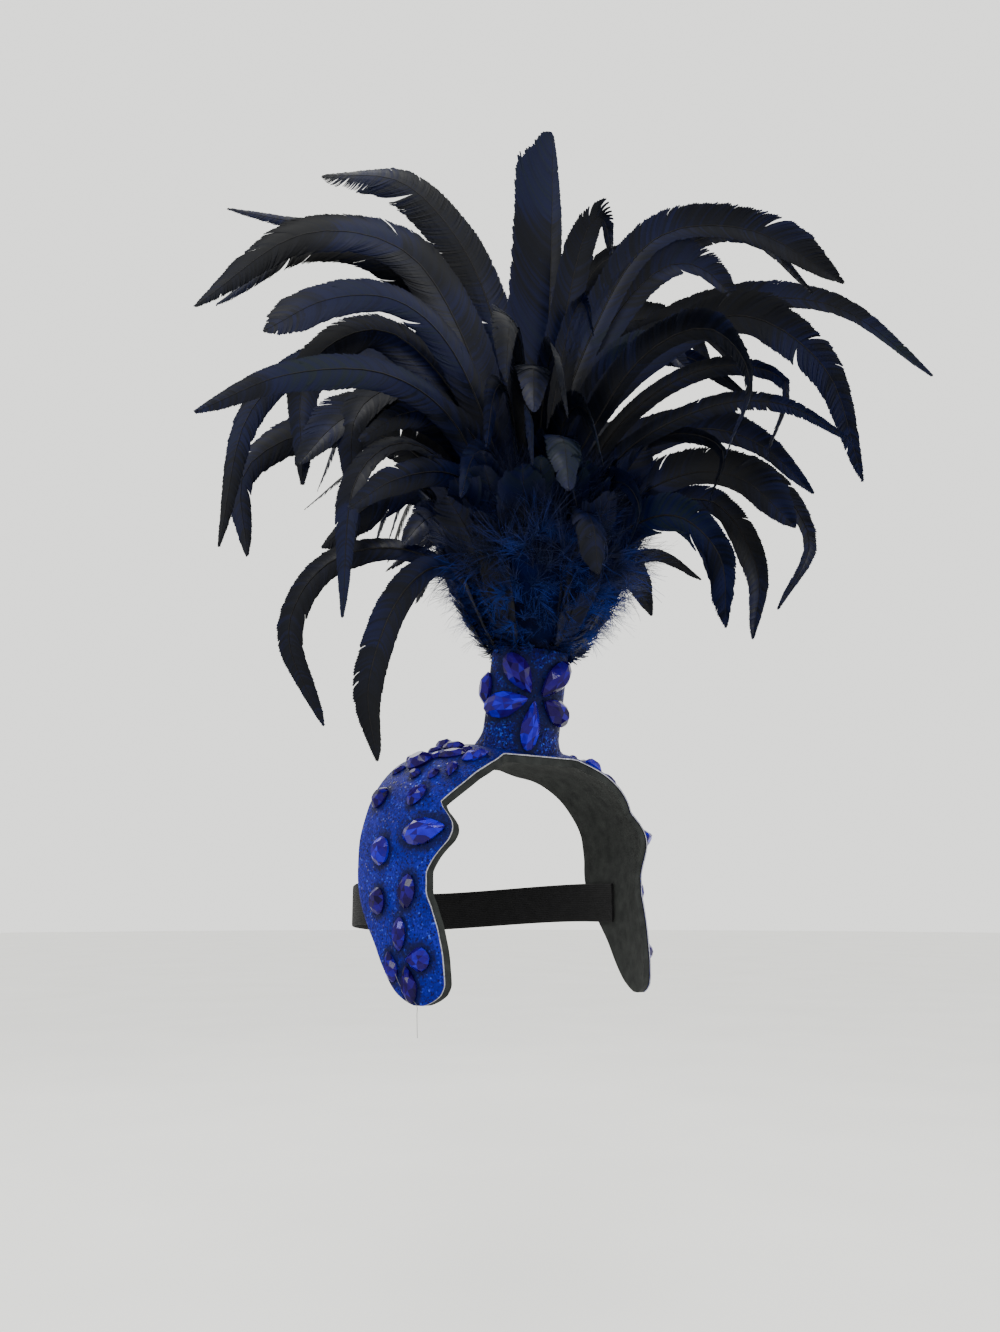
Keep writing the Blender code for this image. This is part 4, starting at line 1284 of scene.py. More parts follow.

# %% [markdown]
# Each stone sits in a puddle of glue that soaks the fabric dark for a few millimetres round
# it. The fabric's points learn how near they are to a stone, measured in the stone's own half
# lengths, and the shader breaks that up. Over the crown the whole fabric is darker as well,
# through the same value.

# %% Glue round the stones
GLUE_REACH = 1.60
GLUE_FADE = 0.45
CROWN_DARKENING = 0.50
CROWN_RUN = 0.062
CROWN_FADE = 0.02
NEARBY = 0.0245


def mark_glue(item, crown):
    """Stores how wet with glue each point is, and the crown's darkening where that is asked for."""
    marks = item.data.attributes.new("glue", "FLOAT", "POINT")
    for vertex, entry in zip(item.data.vertices, marks.data):
        wet = 0.0
        for place, along, across in footprints:
            offset = vertex.co - place
            if offset.length < NEARBY:
                reach = math.hypot(offset.dot(along), offset.dot(across))
                wet = max(wet, min(1.0, (GLUE_REACH - reach) / GLUE_FADE))
        # Over the crown the fabric is darkened as a whole, fading out past the crown's run.
        if crown:
            share = (CROWN_RUN - abs(vertex.co.x)) / CROWN_FADE
            wet = max(wet, CROWN_DARKENING * min(1.0, max(0.0, share)))
        entry.value = wet


mark_glue(cover, True)
mark_glue(column, False)

# %% [markdown]
# A glue gun leaves threads as fine as a hair. One runs down beside the lowest stone of the
# wearer's right lobe, over the band's edge, and hangs free for 15 mm. A few listed places give
# its course, and a smooth curve goes through them.

# %% The glue thread
THREAD_RADIUS = 0.00015
THREAD_SIDES = 6
THREAD_STATIONS = 24
THREAD_LEAN = 0.04
THREAD_SHARP = 80
# share of the run, share of the width, height over the fabric
THREAD_PLACES = [(0.915, 0.67, 0.0030), (0.945, 0.72, 0.0014), (0.972, 0.68, 0.0006),
                 (0.996, 0.52, 0.0003)]
THREAD_DROPS = [0.004, 0.009, 0.015]


def make_thread():
    path = []
    for along, across, height in THREAD_PLACES:
        front, back = band_edges(along * LOBE_RUN)
        path.append(band_point(-along * LOBE_RUN, front + (back - front) * across,
                               COVER_TOP + height))
    path += [path[-1] + Vector((THREAD_LEAN * drop, 0.0, -drop)) for drop in THREAD_DROPS]
    path = smooth_path(path, THREAD_STATIONS)
    points = []
    for k, place in enumerate(path):
        tangent = direction(path, k)
        aside = tangent.cross(Vector((0.0, 1.0, 0.0))).normalized()
        over = tangent.cross(aside)
        for j in range(THREAD_SIDES):
            turn = 2.0 * math.pi * j / THREAD_SIDES
            points.append(place + (aside * math.cos(turn) + over * math.sin(turn)) * THREAD_RADIUS)
    thread = make_object("glue_thread", points, ring_faces(len(path), THREAD_SIDES),
                         [glue_finish])
    face_out(thread.data, THREAD_SHARP)
    print("thread", round(sum((b - a).length for a, b in zip(path, path[1:])), 4), "m long")
    return thread


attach(make_thread(), "root")

# %% [markdown]
# ## The feathers
# A tail feather is a quill with two rows of barbs. That is a rule along a path, so Geometry
# Nodes make it, and Python only lays the quills. The feathers that show one by one are rows of
# a table: first those that spread to the left in the view, then those to the right, then the
# front ones. Each row gives a heading, how the vane is rolled, its width, how blunt its tip is,
# and the knots of its curve as shares of the plume's spread and height.

# %% Sizes and table of the feathers
PLUME_SPREAD = 0.2000
PLUME_HEIGHT = 0.3000
FEATHER_WIDTH = 0.0240
FEATHER_TWIST = math.radians(24.0)
LEFT_ROWS = 15
RIGHT_ROWS = 18

# heading, roll, width, tip, knots
FEATHERS = [
    (115, 15, 1.12, 0.7, [(0.05, 0.44), (0.13, 0.70), (0.26, 0.90), (0.48, 1.08), (0.80, 1.17)]),
    (150, 10, 1.30, 0.5, [(0.09, 0.39), (0.23, 0.67), (0.40, 0.81), (0.68, 0.82), (0.96, 0.66)]),
    (138, 20, 1.10, 0.3, [(0.09, 0.37), (0.22, 0.64), (0.44, 0.82), (0.70, 0.85), (0.96, 0.74)]),
    (128, 10, 0.80, 0.0, [(0.09, 0.40), (0.28, 0.74), (0.55, 0.92), (0.80, 0.98), (1.03, 1.04)]),
    (172, 5, 0.95, 0.9, [(0.10, 0.34), (0.24, 0.55), (0.41, 0.63), (0.61, 0.60), (0.78, 0.51)]),
    (160, 10, 1.05, 0.1, [(0.10, 0.30), (0.24, 0.50), (0.44, 0.60), (0.64, 0.50), (0.64, 0.28)]),
    (185, 5, 0.80, 0.1, [(0.11, 0.21), (0.27, 0.39), (0.50, 0.44), (0.78, 0.38), (1.01, 0.27)]),
    (142, 10, 0.90, 0.2, [(0.11, 0.30), (0.35, 0.53), (0.59, 0.60), (0.82, 0.48), (0.89, 0.21)]),
    (130, 0, 1.10, 0.3, [(0.12, 0.21), (0.37, 0.42), (0.66, 0.48), (0.90, 0.41), (0.88, 0.23)]),
    (165, 10, 1.10, 0.4, [(0.10, 0.28), (0.23, 0.40), (0.39, 0.43), (0.54, 0.40), (0.66, 0.30)]),
    (120, 30, 0.65, 0.1, [(0.08, 0.21), (0.22, 0.38), (0.34, 0.46), (0.54, 0.44), (0.77, 0.35)]),
    (148, 15, 1.00, 0.2, [(0.10, 0.17), (0.21, 0.28), (0.34, 0.31), (0.46, 0.27), (0.58, 0.19)]),
    (178, 35, 0.55, 0.2, [(0.12, 0.17), (0.26, 0.31), (0.42, 0.34), (0.55, 0.24), (0.57, 0.01)]),
    (155, 5, 0.62, 0.2, [(0.14, 0.12), (0.37, 0.18), (0.57, 0.14), (0.66, 0.01), (0.56, -0.15)]),
    (185, 5, 0.72, 0.3, [(0.15, 0.08), (0.31, 0.12), (0.45, 0.04), (0.53, -0.11), (0.50, -0.23)]),
    (-35, 5, 1.30, 0.55, [(0.02, 0.29), (0.04, 0.49), (0.06, 0.70), (0.07, 0.90), (0.075, 1.07)]),
    (-50, 25, 0.75, 0.5, [(0.04, 0.39), (0.10, 0.63), (0.16, 0.81), (0.22, 0.87), (0.25, 0.77)]),
    (-15, 10, 0.60, 0.3, [(0.05, 0.35), (0.10, 0.56), (0.18, 0.76), (0.31, 0.85), (0.53, 0.85)]),
    (-45, 10, 0.75, 0.9, [(0.06, 0.37), (0.19, 0.63), (0.37, 0.81), (0.64, 0.81), (0.89, 0.68)]),
    (-38, 10, 0.90, 0.5, [(0.06, 0.33), (0.20, 0.60), (0.36, 0.75), (0.49, 0.77), (0.61, 0.69)]),
    (-30, 20, 0.50, 0.2, [(0.05, 0.33), (0.25, 0.70), (0.50, 0.85), (0.70, 0.86), (0.86, 0.75)]),
    (-20, 10, 0.72, 0.0, [(0.07, 0.30), (0.31, 0.61), (0.64, 0.76), (1.03, 0.79), (1.36, 0.66)]),
    (-60, 15, 0.90, 0.2, [(0.07, 0.27), (0.26, 0.48), (0.58, 0.58), (0.82, 0.45), (0.90, 0.23)]),
    (-70, 15, 0.42, 0.2, [(0.10, 0.17), (0.29, 0.33), (0.55, 0.38), (0.75, 0.35), (0.91, 0.26)]),
    (-80, 20, 0.60, 0.2, [(0.07, 0.23), (0.35, 0.46), (0.60, 0.49), (0.73, 0.37), (0.65, 0.25)]),
    (-65, 30, 0.42, 0.1, [(0.07, 0.20), (0.28, 0.40), (0.53, 0.47), (0.74, 0.41), (0.68, 0.28)]),
    (-48, 10, 0.70, 0.2, [(0.07, 0.17), (0.22, 0.32), (0.43, 0.40), (0.62, 0.37), (0.77, 0.26)]),
    (-25, 10, 0.45, 0.1, [(0.10, 0.13), (0.35, 0.31), (0.65, 0.39), (0.84, 0.25), (0.73, 0.10)]),
    (-55, 5, 0.80, 0.7, [(0.10, 0.12), (0.24, 0.24), (0.43, 0.30), (0.59, 0.28), (0.72, 0.18)]),
    (-75, 10, 0.85, 0.5, [(0.12, 0.08), (0.27, 0.17), (0.46, 0.19), (0.59, 0.10), (0.60, -0.02)]),
    (-42, 10, 0.62, 0.3, [(0.12, 0.12), (0.31, 0.25), (0.51, 0.27), (0.62, 0.14), (0.60, 0.01)]),
    (-15, 40, 0.35, 0.0, [(0.07, 0.07), (0.18, 0.14), (0.32, 0.20), (0.42, 0.21), (0.54, 0.17)]),
    (-5, 20, 0.90, 0.3, [(0.07, 0.34), (0.20, 0.62), (0.41, 0.74), (0.60, 0.74), (0.69, 0.67)]),
    (-125, 75, 1.00, 0.6, [(0.03, 0.30), (0.10, 0.52), (0.20, 0.60), (0.31, 0.57), (0.36, 0.45)]),
    (-112, 80, 0.95, 0.6, [(0.05, 0.20), (0.13, 0.36), (0.24, 0.43), (0.34, 0.39), (0.38, 0.27)]),
    (-135, 30, 0.90, 0.5, [(0.04, 0.36), (0.12, 0.62), (0.25, 0.70), (0.36, 0.64), (0.41, 0.50)]),
    (-100, 80, 0.90, 0.5, [(0.06, 0.12), (0.16, 0.23), (0.27, 0.27), (0.35, 0.21), (0.37, 0.10)]),
]


# %% [markdown]
# The feathers behind the spray can't be told apart from the front, so a rule draws them, much
# as it does for the solid plume. Steps of the golden ratio spread their headings with no
# pattern that the eye could find, and each has the curl of an ordinary tail feather. A few
# more stand in front. They are rolled less than the table's front ones, so they show narrow
# and leave the plume's heart to be seen.

# %% Feathers at the back and the front
PLUME_SEED = 11
BACK_FEATHERS = 12
FRONT_FEATHERS = 6
GOLDEN_STEP = 0.618
BACK_HEADING = 24.0
BACK_FAN = 94.0
FRONT_HEADING = -92.0
FRONT_FAN = 78.0
FRONT_ROLL = 1.0 / 3.0
FRONT_SETTLE = 0.80
FRONT_WIDTH = 0.78
# shares of a feather's reach and rise
ORDINARY_CURL = [(0.10, 0.36), (0.28, 0.76), (0.56, 1.00), (0.84, 0.92), (1.00, 0.66)]


def spray_knots(reach, rise):
    """Knots of an ordinary curling feather that stands out to reach and rises to rise."""
    return [(out * reach, up * rise) for out, up in ORDINARY_CURL]


def back_spray(chance):
    rows = []
    for k in range(BACK_FEATHERS):
        heading = (BACK_HEADING + BACK_FAN * ((k * GOLDEN_STEP) % 1.0)
                   + chance.uniform(-4.0, 4.0))
        rise = 0.26 + 0.54 * (k + 0.5) / BACK_FEATHERS
        reach = 0.62 + 0.26 * math.sin(math.pi * rise) + chance.uniform(-0.06, 0.06)
        roll = chance.uniform(10.0, 60.0)
        rows.append((heading, roll, chance.uniform(0.7, 1.0), chance.uniform(0.1, 0.6),
                     spray_knots(reach, rise)))
    return rows


def front_spray(chance):
    rows = []
    for k in range(FRONT_FEATHERS):
        heading = FRONT_HEADING - FRONT_FAN * ((k * GOLDEN_STEP + 0.2) % 1.0)
        rise = 0.34 + 0.30 * (k + 0.5) / FRONT_FEATHERS
        reach = 0.40 + chance.uniform(-0.05, 0.05)
        roll = chance.uniform(40.0, 80.0) * FRONT_ROLL
        rows.append((heading, roll, chance.uniform(0.8, 1.0) * 0.8, chance.uniform(0.3, 0.7),
                     spray_knots(reach, rise)))
    return rows


def settled(rows):
    """Front feathers lowered and narrowed, so that they don't hide the plume's heart."""
    return [(heading, roll, width * FRONT_WIDTH, tip,
             [(out, up * FRONT_SETTLE) for out, up in knots])
            for heading, roll, width, tip, knots in rows]


plume_draws = random.Random(PLUME_SEED)
left_rows = FEATHERS[:LEFT_ROWS]
right_rows = FEATHERS[LEFT_ROWS:LEFT_ROWS + RIGHT_ROWS]
back_rows = back_spray(plume_draws)
front_rows = settled(FEATHERS[LEFT_ROWS + RIGHT_ROWS:] + front_spray(plume_draws))
print("rows", len(left_rows), len(right_rows), len(back_rows), len(front_rows))

# %% [markdown]
# In a real spray the feathers come in twos and threes, tied together. Most rows at the sides
# and the back therefore get a shorter companion, turned a few degrees, which also fills the
# dark heart of the plume. A collar of short feathers with their flat sides out covers the
# place where the quills come out of the down.

# %% Companions and collar
TOO_LOW = 0.24
TOO_HIGH = 1.0
COMPANION_SIZE = (0.52, 0.80)
COMPANION_TURN = 9.0
COMPANION_ROLL = 18.0
COLLAR_FEATHERS = 60
COLLAR_STEP = 137.5
COLLAR_TIERS = 3
TIER_RISE = 0.035
TIER_START = 0.03


def companions(rows, seed):
    """A shorter feather beside each one, but for those that end very low or very high."""
    lots = random.Random(seed)
    made = []
    for heading, roll, width, _, knots in rows:
        if not TOO_LOW <= knots[-1][1] <= TOO_HIGH:
            continue
        size = lots.uniform(*COMPANION_SIZE)
        lift = lots.uniform(-0.03, 0.02)
        bent = [(out * size, up * size + lift * out) for out, up in knots]
        made.append((heading + lots.uniform(-COMPANION_TURN, COMPANION_TURN),
                     roll + lots.uniform(-COMPANION_ROLL, COMPANION_ROLL),
                     width * lots.uniform(0.75, 0.95), lots.uniform(0.1, 0.4), bent))
    return made


def collar_rows(seed):
    """Short dark feathers all round the tuft, with their flat sides out."""
    lots = random.Random(seed)
    made = []
    for k in range(COLLAR_FEATHERS):
        heading = COLLAR_STEP * k + lots.uniform(-8.0, 8.0)
        size = lots.uniform(0.80, 1.25)
        out = lots.uniform(0.88, 1.10)
        lift = TIER_RISE * (k % COLLAR_TIERS) - TIER_START
        knots = [(0.105 * out, 0.020 + lift), (0.168 * out, 0.07 + lift),
                 (0.215 * out, 0.14 * size + lift), (0.255 * out, 0.21 * size + lift),
                 (0.335 * out, 0.27 * size + lift)]
        made.append((heading, lots.uniform(70.0, 110.0), lots.uniform(0.8, 1.1), 0.4, knots))
    return made


FEATHER_GROUPS = {
    "feathers_left": left_rows,
    "feathers_left_inner": companions(left_rows, 21),
    "feathers_right": right_rows,
    "feathers_right_inner": companions(right_rows, 22),
    "feathers_back": back_rows + companions(back_rows, 23),
    "feathers_front": front_rows,
    "feathers_collar": collar_rows(27),
}
print("feathers", {name: len(rows) for name, rows in FEATHER_GROUPS.items()})

# %% [markdown]
# A quill's curve starts just over the column's mouth, inside the down, and goes through its
# knots. The vane is narrow at the root, widest past the first third, and runs out in a point
# or a blunt end.

# %% A quill's path and its vane's width
QUILL_POINTS = 26
ROOT_SPLAY = 0.006
ROOT_RISE = 0.012
ROOT_WIDTH = 0.16
WIDEST_AT = 0.42
NARROWEST = 0.04


def vane_width(share, tip):
    """The vane's width along the quill, as a share of its widest."""
    root = ROOT_WIDTH + (1.0 - ROOT_WIDTH) * min(1.0, share / WIDEST_AT) ** 1.5
    taper = 0.34 - 0.24 * tip
    point = min(1.0, (1.0 - share) / taper) ** 0.75
    return max(NARROWEST, root * (0.06 + 0.94 * point))


def quill_path(heading, knots):
    root = column_point(0.0, COLUMN_HEIGHT, -COLUMN_HALF_WIDTH)
    out = Vector((math.cos(heading), math.sin(heading), 0.0))
    places = [root + out * ROOT_SPLAY + Vector((0.0, 0.0, ROOT_RISE))]
    for reach, rise in knots:
        places.append(root + out * reach * PLUME_SPREAD + Vector((0.0, 0.0, rise * PLUME_HEIGHT)))
    return smooth_path(places, QUILL_POINTS)


# %% [markdown]
# The vane's direction is the inward side of the bend, rolled about the quill and twisted along
# it, as a drying feather does. A chain of points holds each feather, and the facts of the vane
# lie on the points as attributes, which Geometry Nodes can read. The upright feather has most
# of its vane on one side, as a feather from the edge of a tail has.

# %% Lay the quills
LARGEST_SKEW = 0.22
UPRIGHT_SKEW = -0.62
UPRIGHT_REACH = 0.1
QUILL_FACTS = (("share", "FLOAT"), ("which", "FLOAT"), ("vane", "FLOAT"), ("skew", "FLOAT"),
               ("tangent", "FLOAT_VECTOR"), ("across", "FLOAT_VECTOR"))


def quill_facts(path, heading, roll, k):
    """The share of the quill's run at its point k, its direction and the vane's."""
    share = k / (QUILL_POINTS - 1)
    side = Vector((-math.sin(heading), math.cos(heading), 0.0))
    tangent = direction(path, k)
    inward = side.cross(tangent).normalized()
    angle = math.radians(roll) + FEATHER_TWIST * (share - 0.5)
    return share, tangent, inward * math.cos(angle) + side * math.sin(angle)


def store_facts(mesh, facts):
    for index, (key, kind) in enumerate(QUILL_FACTS):
        attribute = mesh.attributes.new(key, kind, "POINT")
        for entry, fact in zip(attribute.data, facts):
            if kind == "FLOAT":
                entry.value = fact[index]
            else:
                entry.vector = fact[index]


def lay_quills(name, rows, seed):
    """A mesh of edges, one chain a feather, with the vane's facts stored on its points."""
    lots = random.Random(seed)
    points, edges, facts = [], [], []
    for heading, roll, width, tip, knots in rows:
        heading = math.radians(heading)
        path = quill_path(heading, knots)
        which = lots.random() * 50.0
        skew = lots.uniform(-LARGEST_SKEW, LARGEST_SKEW)
        if knots[-1][0] < UPRIGHT_REACH:
            skew = UPRIGHT_SKEW
        for k, place in enumerate(path):
            share, tangent, across = quill_facts(path, heading, roll, k)
            if k:
                edges.append((len(points) - 1, len(points)))
            points.append(place)
            half_width = width * FEATHER_WIDTH * vane_width(share, tip) / 2.0
            facts.append((share, which, half_width, skew, tangent, across))
    mesh = bpy.data.meshes.new(name)
    mesh.from_pydata([tuple(p) for p in points], edges, [])
    store_facts(mesh, facts)
    return new_object(name, mesh)


# %% [markdown]
# ### Geometry Nodes in code
# A modifier's tree is built like a shader's. It reads and stores named attributes, its sizes
# are inputs with plain names, and its result is taken over as a plain mesh, so that each piece
# carries all of its own faces.

# %% Helpers for Geometry Nodes
def named(tree, name, kind="FLOAT"):
    made = node(tree, "GeometryNodeInputNamedAttribute", {"Name": name}, data_type=kind)
    return made.outputs["Attribute"]


def store(tree, geometry, name, value, kind="FLOAT"):
    made = node(tree, "GeometryNodeStoreNamedAttribute",
                {"Geometry": geometry, "Name": name, "Value": value},
                data_type=kind, domain="POINT")
    return made.outputs["Geometry"]


def new_tree(name, inputs):
    """A Geometry Nodes tree with its geometry sockets and its named number inputs."""
    tree = bpy.data.node_groups.new(name, "GeometryNodeTree")
    tree.interface.new_socket("Geometry", in_out="INPUT", socket_type="NodeSocketGeometry")
    tree.interface.new_socket("Geometry", in_out="OUTPUT", socket_type="NodeSocketGeometry")
    for key, kind in inputs.items():
        tree.interface.new_socket(key, in_out="INPUT", socket_type=f"NodeSocket{kind}")
    return tree, node(tree, "NodeGroupInput"), node(tree, "NodeGroupOutput")


def run_tree(item, tree, values):
    """Runs a tree on an object and leaves the result as its plain mesh."""
    modifier = item.modifiers.new("make", "NODES")
    modifier.node_group = tree
    for socket in tree.interface.items_tree:
        if socket.in_out == "INPUT" and socket.name in values:
            modifier[socket.identifier] = values[socket.name]
    evaluated = item.evaluated_get(bpy.context.evaluated_depsgraph_get())
    mesh = bpy.data.meshes.new_from_object(evaluated)
    item.modifiers.clear()
    item.data = mesh
    mesh.name = item.name


# %% [markdown]
# ### The feather tree
# The tree puts a pair of flat ribbons on every step of a quill, one for each side. Five
# segments are enough for a barb's curve, and one copy serves all, because what bends it comes
# later. Each point stores how far along its barb it lies, where it lies across the ribbon, and
# which side it is on.

# %% A pair of barbs
BARB_STEPS = 5


def joined(tree, *branches):
    join = node(tree, "GeometryNodeJoinGeometry")
    for branch in branches:
        tree.links.new(branch, join.inputs[0])
    return join.outputs[0]


def barb_pair(tree):
    """Two flat ribbons, one for each side, with their own coordinates stored on them."""
    ribbon = node(tree, "GeometryNodeMeshGrid", {"Size X": 1.0, "Size Y": 1.0,
                                                 "Vertices X": BARB_STEPS + 1, "Vertices Y": 2})
    place = node(tree, "ShaderNodeSeparateXYZ",
                 {0: node(tree, "GeometryNodeInputPosition").outputs[0]})
    ribbon = store(tree, ribbon.outputs["Mesh"], "along", calc(tree, "ADD", place.outputs[0], 0.5))
    ribbon = store(tree, ribbon, "beam", place.outputs[1])
    right = store(tree, ribbon, "side", 1.0)
    flipped = node(tree, "GeometryNodeFlipFaces", {"Mesh": ribbon}).outputs["Mesh"]
    left = store(tree, flipped, "side", -1.0)
    return joined(tree, right, left)


# %% [markdown]
# Barbs leave the quill at a slant and curve towards the tip. A slow noise along the quill bends
# that slant, and where the hooks between two barbs have let go, the vane splits: a stepped
# noise gives each tuft of barbs a jump of its own. Near the root the barbs are loose and of
# uneven length, and here and there one is broken off.

# %% Slant and length of a barb
SLOW_BENDS = 6.0
SLANT_WAVER = 0.9
VANE_TUFTS = 13.0
BARB_SPLIT = 0.55
SIDE_PHASE = 7.3
BROKEN_FROM = 0.985
BROKEN_LOSS = 0.30


def looseness(tree):
    """One at the root, falling to nought at a third of the quill."""
    falling = calc(tree, "MULTIPLY_ADD", named(tree, "share"), -3.0, 1.0)
    return calc(tree, "MAXIMUM", falling, 0.0)


def barb_slant(tree, sweep):
    """How far a barb runs towards the tip for each metre that it runs out."""
    share, skew = named(tree, "share"), named(tree, "skew")
    phase = calc(tree, "ADD", named(tree, "which"),
                 calc(tree, "MULTIPLY", named(tree, "side"), SIDE_PHASE))
    spot = calc(tree, "MULTIPLY_ADD", share, SLOW_BENDS, phase)
    slow = node(tree, "ShaderNodeTexNoise", {"W": spot, "Scale": 1.0, "Detail": 1.0},
                noise_dimensions="1D").outputs[0]
    slant = calc(tree, "MULTIPLY_ADD", calc(tree, "SUBTRACT", slow, 0.5), SLANT_WAVER, sweep)
    tuft = calc(tree, "FLOOR", calc(tree, "MULTIPLY_ADD", share, VANE_TUFTS,
                                    calc(tree, "MULTIPLY", phase, 3.7)))
    step = node(tree, "ShaderNodeTexWhiteNoise", {"W": calc(tree, "MULTIPLY", tuft, 1.37)},
                noise_dimensions="1D").outputs["Value"]
    jump = calc(tree, "MULTIPLY_ADD", step, 2.0, -1.0)
    jump = calc(tree, "MULTIPLY", jump, calc(tree, "MULTIPLY", jump, jump))
    even = calc(tree, "MULTIPLY_ADD", calc(tree, "ABSOLUTE", skew), -1.3, 1.0)
    return calc(tree, "MULTIPLY_ADD", jump, calc(tree, "MULTIPLY", even, BARB_SPLIT), slant)


def barb_reach(tree):
    """How far a barb runs out from the quill."""
    lot = named(tree, "lot")
    uneven = calc(tree, "MULTIPLY_ADD", looseness(tree), 0.6, 0.07)
    uneven = calc(tree, "MULTIPLY_ADD", calc(tree, "SUBTRACT", lot, 0.5), uneven, 1.0)
    broken = calc(tree, "MULTIPLY", calc(tree, "GREATER_THAN", lot, BROKEN_FROM), BROKEN_LOSS)
    lopsided = calc(tree, "MULTIPLY_ADD", named(tree, "side"), named(tree, "skew"), 1.0)
    reach = calc(tree, "MULTIPLY", named(tree, "vane"), calc(tree, "SUBTRACT", uneven, broken))
    return calc(tree, "MULTIPLY", reach, lopsided)


# %% [markdown]
# A formula places the ribbons, and no rotation: each point goes to the quill's place, plus a
# run outwards that slows down, a run towards the tip that speeds up, and a slight droop. The
# ribbon's own width is laid square to the barb's curve, and it shrinks towards the end.

# %% Where a barb's points go
OUT_CURVE = 1.4
ON_CURVE = 1.25
STRAY_AT_ROOT = 0.008
STRAY_ON_VANE = 0.0006
RIBBON_WIDTH = 1.55
RIBBON_TAPER = 0.8


def width_direction(tree, u, slant, outside, tangent):
    """The direction across a ribbon, square to its curve."""
    left_over = calc(tree, "SUBTRACT", 1.0, u)
    run_out = calc(tree, "POWER", calc(tree, "ADD", left_over, 0.02), OUT_CURVE - 1.0)
    run_out = calc(tree, "MULTIPLY", run_out, OUT_CURVE)
    run_on = calc(tree, "MULTIPLY", calc(tree, "POWER", u, ON_CURVE - 1.0), ON_CURVE)
    run_on = calc(tree, "MULTIPLY", slant, run_on)
    return vector_calc(tree, "NORMALIZE", vector_calc(
        tree, "SUBTRACT", scaled(tree, tangent, run_out), scaled(tree, outside, run_on)))


def barb_place(tree, spacing, sweep, droop):
    """Where each point of a barb goes."""
    u, beam, lot = named(tree, "along"), named(tree, "beam"), named(tree, "lot")
    tangent = vector_calc(tree, "NORMALIZE", named(tree, "tangent", "FLOAT_VECTOR"))
    across = vector_calc(tree, "NORMALIZE", named(tree, "across", "FLOAT_VECTOR"))
    normal = vector_calc(tree, "CROSS_PRODUCT", tangent, across)
    outside = scaled(tree, across, named(tree, "side"))
    slant, reach = barb_slant(tree, sweep), barb_reach(tree)
    left_over = calc(tree, "POWER", calc(tree, "SUBTRACT", 1.0, u), OUT_CURVE)
    outward = calc(tree, "MULTIPLY", reach, calc(tree, "SUBTRACT", 1.0, left_over))
    forward = calc(tree, "MULTIPLY", calc(tree, "MULTIPLY", reach, slant),
                   calc(tree, "POWER", u, ON_CURVE))
    sag = calc(tree, "DIVIDE", calc(tree, "MULTIPLY", outward, outward), named(tree, "vane"))
    sag = calc(tree, "MULTIPLY", sag, calc(tree, "MULTIPLY", droop, -1.0))
    stray = calc(tree, "SUBTRACT", calc(tree, "FRACT", calc(tree, "MULTIPLY", lot, 37.0)), 0.5)
    lift = calc(tree, "MULTIPLY_ADD", calc(tree, "MULTIPLY", stray, u),
                calc(tree, "MULTIPLY_ADD", looseness(tree), STRAY_AT_ROOT, STRAY_ON_VANE), sag)
    wide = calc(tree, "MULTIPLY_ADD", calc(tree, "MULTIPLY", u, u), -RIBBON_TAPER, RIBBON_WIDTH)
    wide = calc(tree, "MULTIPLY", calc(tree, "MULTIPLY", wide, spacing), beam)
    width_way = width_direction(tree, u, slant, outside, tangent)
    total = named(tree, "spot", "FLOAT_VECTOR")
    for way, run in ((outside, outward), (tangent, forward), (normal, lift), (width_way, wide)):
        total = vector_calc(tree, "ADD", total, scaled(tree, way, run))
    return total


# %% [markdown]
# The whole tree has two branches. One cuts each chain into steps of a barb's spacing and puts
# the barbs there. The other cuts it more coarsely and sweeps a thin ring along it for the
# quill. They are joined, the instances are made real, and each gets its finish.

# %% The feather tree
BARB_SPACING = 0.00125
BARB_SWEEP = 1.15
BARB_DROOP = 0.30
QUILL_RADIUS = 0.00085
QUILL_STEP = 0.006
QUILL_SIDES = 6
QUILL_TAPER = 0.86


def resampled(tree, lines, step):
    return node(tree, "GeometryNodeResampleCurve", {"Curve": lines, "Length": step},
                mode="LENGTH").outputs[0]


def barbs_branch(tree, given, lines):
    fine = resampled(tree, lines, given.outputs["Barb Spacing"])
    place = node(tree, "GeometryNodeInputPosition").outputs[0]
    fine = store(tree, fine, "spot", place, "FLOAT_VECTOR")
    lot = node(tree, "FunctionNodeRandomValue", {"Seed": given.outputs["Seed"]}, data_type="FLOAT")
    fine = store(tree, fine, "lot", lot.outputs[1])
    barbs = node(tree, "GeometryNodeInstanceOnPoints",
                 {"Points": fine, "Instance": barb_pair(tree)}).outputs[0]
    barbs = node(tree, "GeometryNodeRealizeInstances", {"Geometry": barbs}).outputs[0]
    place = barb_place(tree, given.outputs["Barb Spacing"], given.outputs["Barb Sweep"],
                       given.outputs["Barb Droop"])
    return node(tree, "GeometryNodeSetPosition", {"Geometry": barbs, "Position": place}).outputs[0]


def quills_branch(tree, given, lines):
    thin = calc(tree, "MULTIPLY_ADD", named(tree, "share"), -QUILL_TAPER, 1.0)
    radius = calc(tree, "MULTIPLY", thin, given.outputs["Quill Radius"])
    coarse = node(tree, "GeometryNodeSetCurveRadius", {
        "Curve": resampled(tree, lines, QUILL_STEP), "Radius": radius}).outputs[0]
    ring = node(tree, "GeometryNodeCurvePrimitiveCircle", {
        "Resolution": QUILL_SIDES, "Radius": 1.0})
    tube = node(tree, "GeometryNodeCurveToMesh", {
        "Curve": coarse, "Profile Curve": ring.outputs["Curve"], "Fill Caps": True})
    if "Scale" in tube.inputs:
        tree.links.new(node(tree, "GeometryNodeInputRadius").outputs[0], tube.inputs["Scale"])
    return store(tree, tube.outputs["Mesh"], "quill", 1.0)


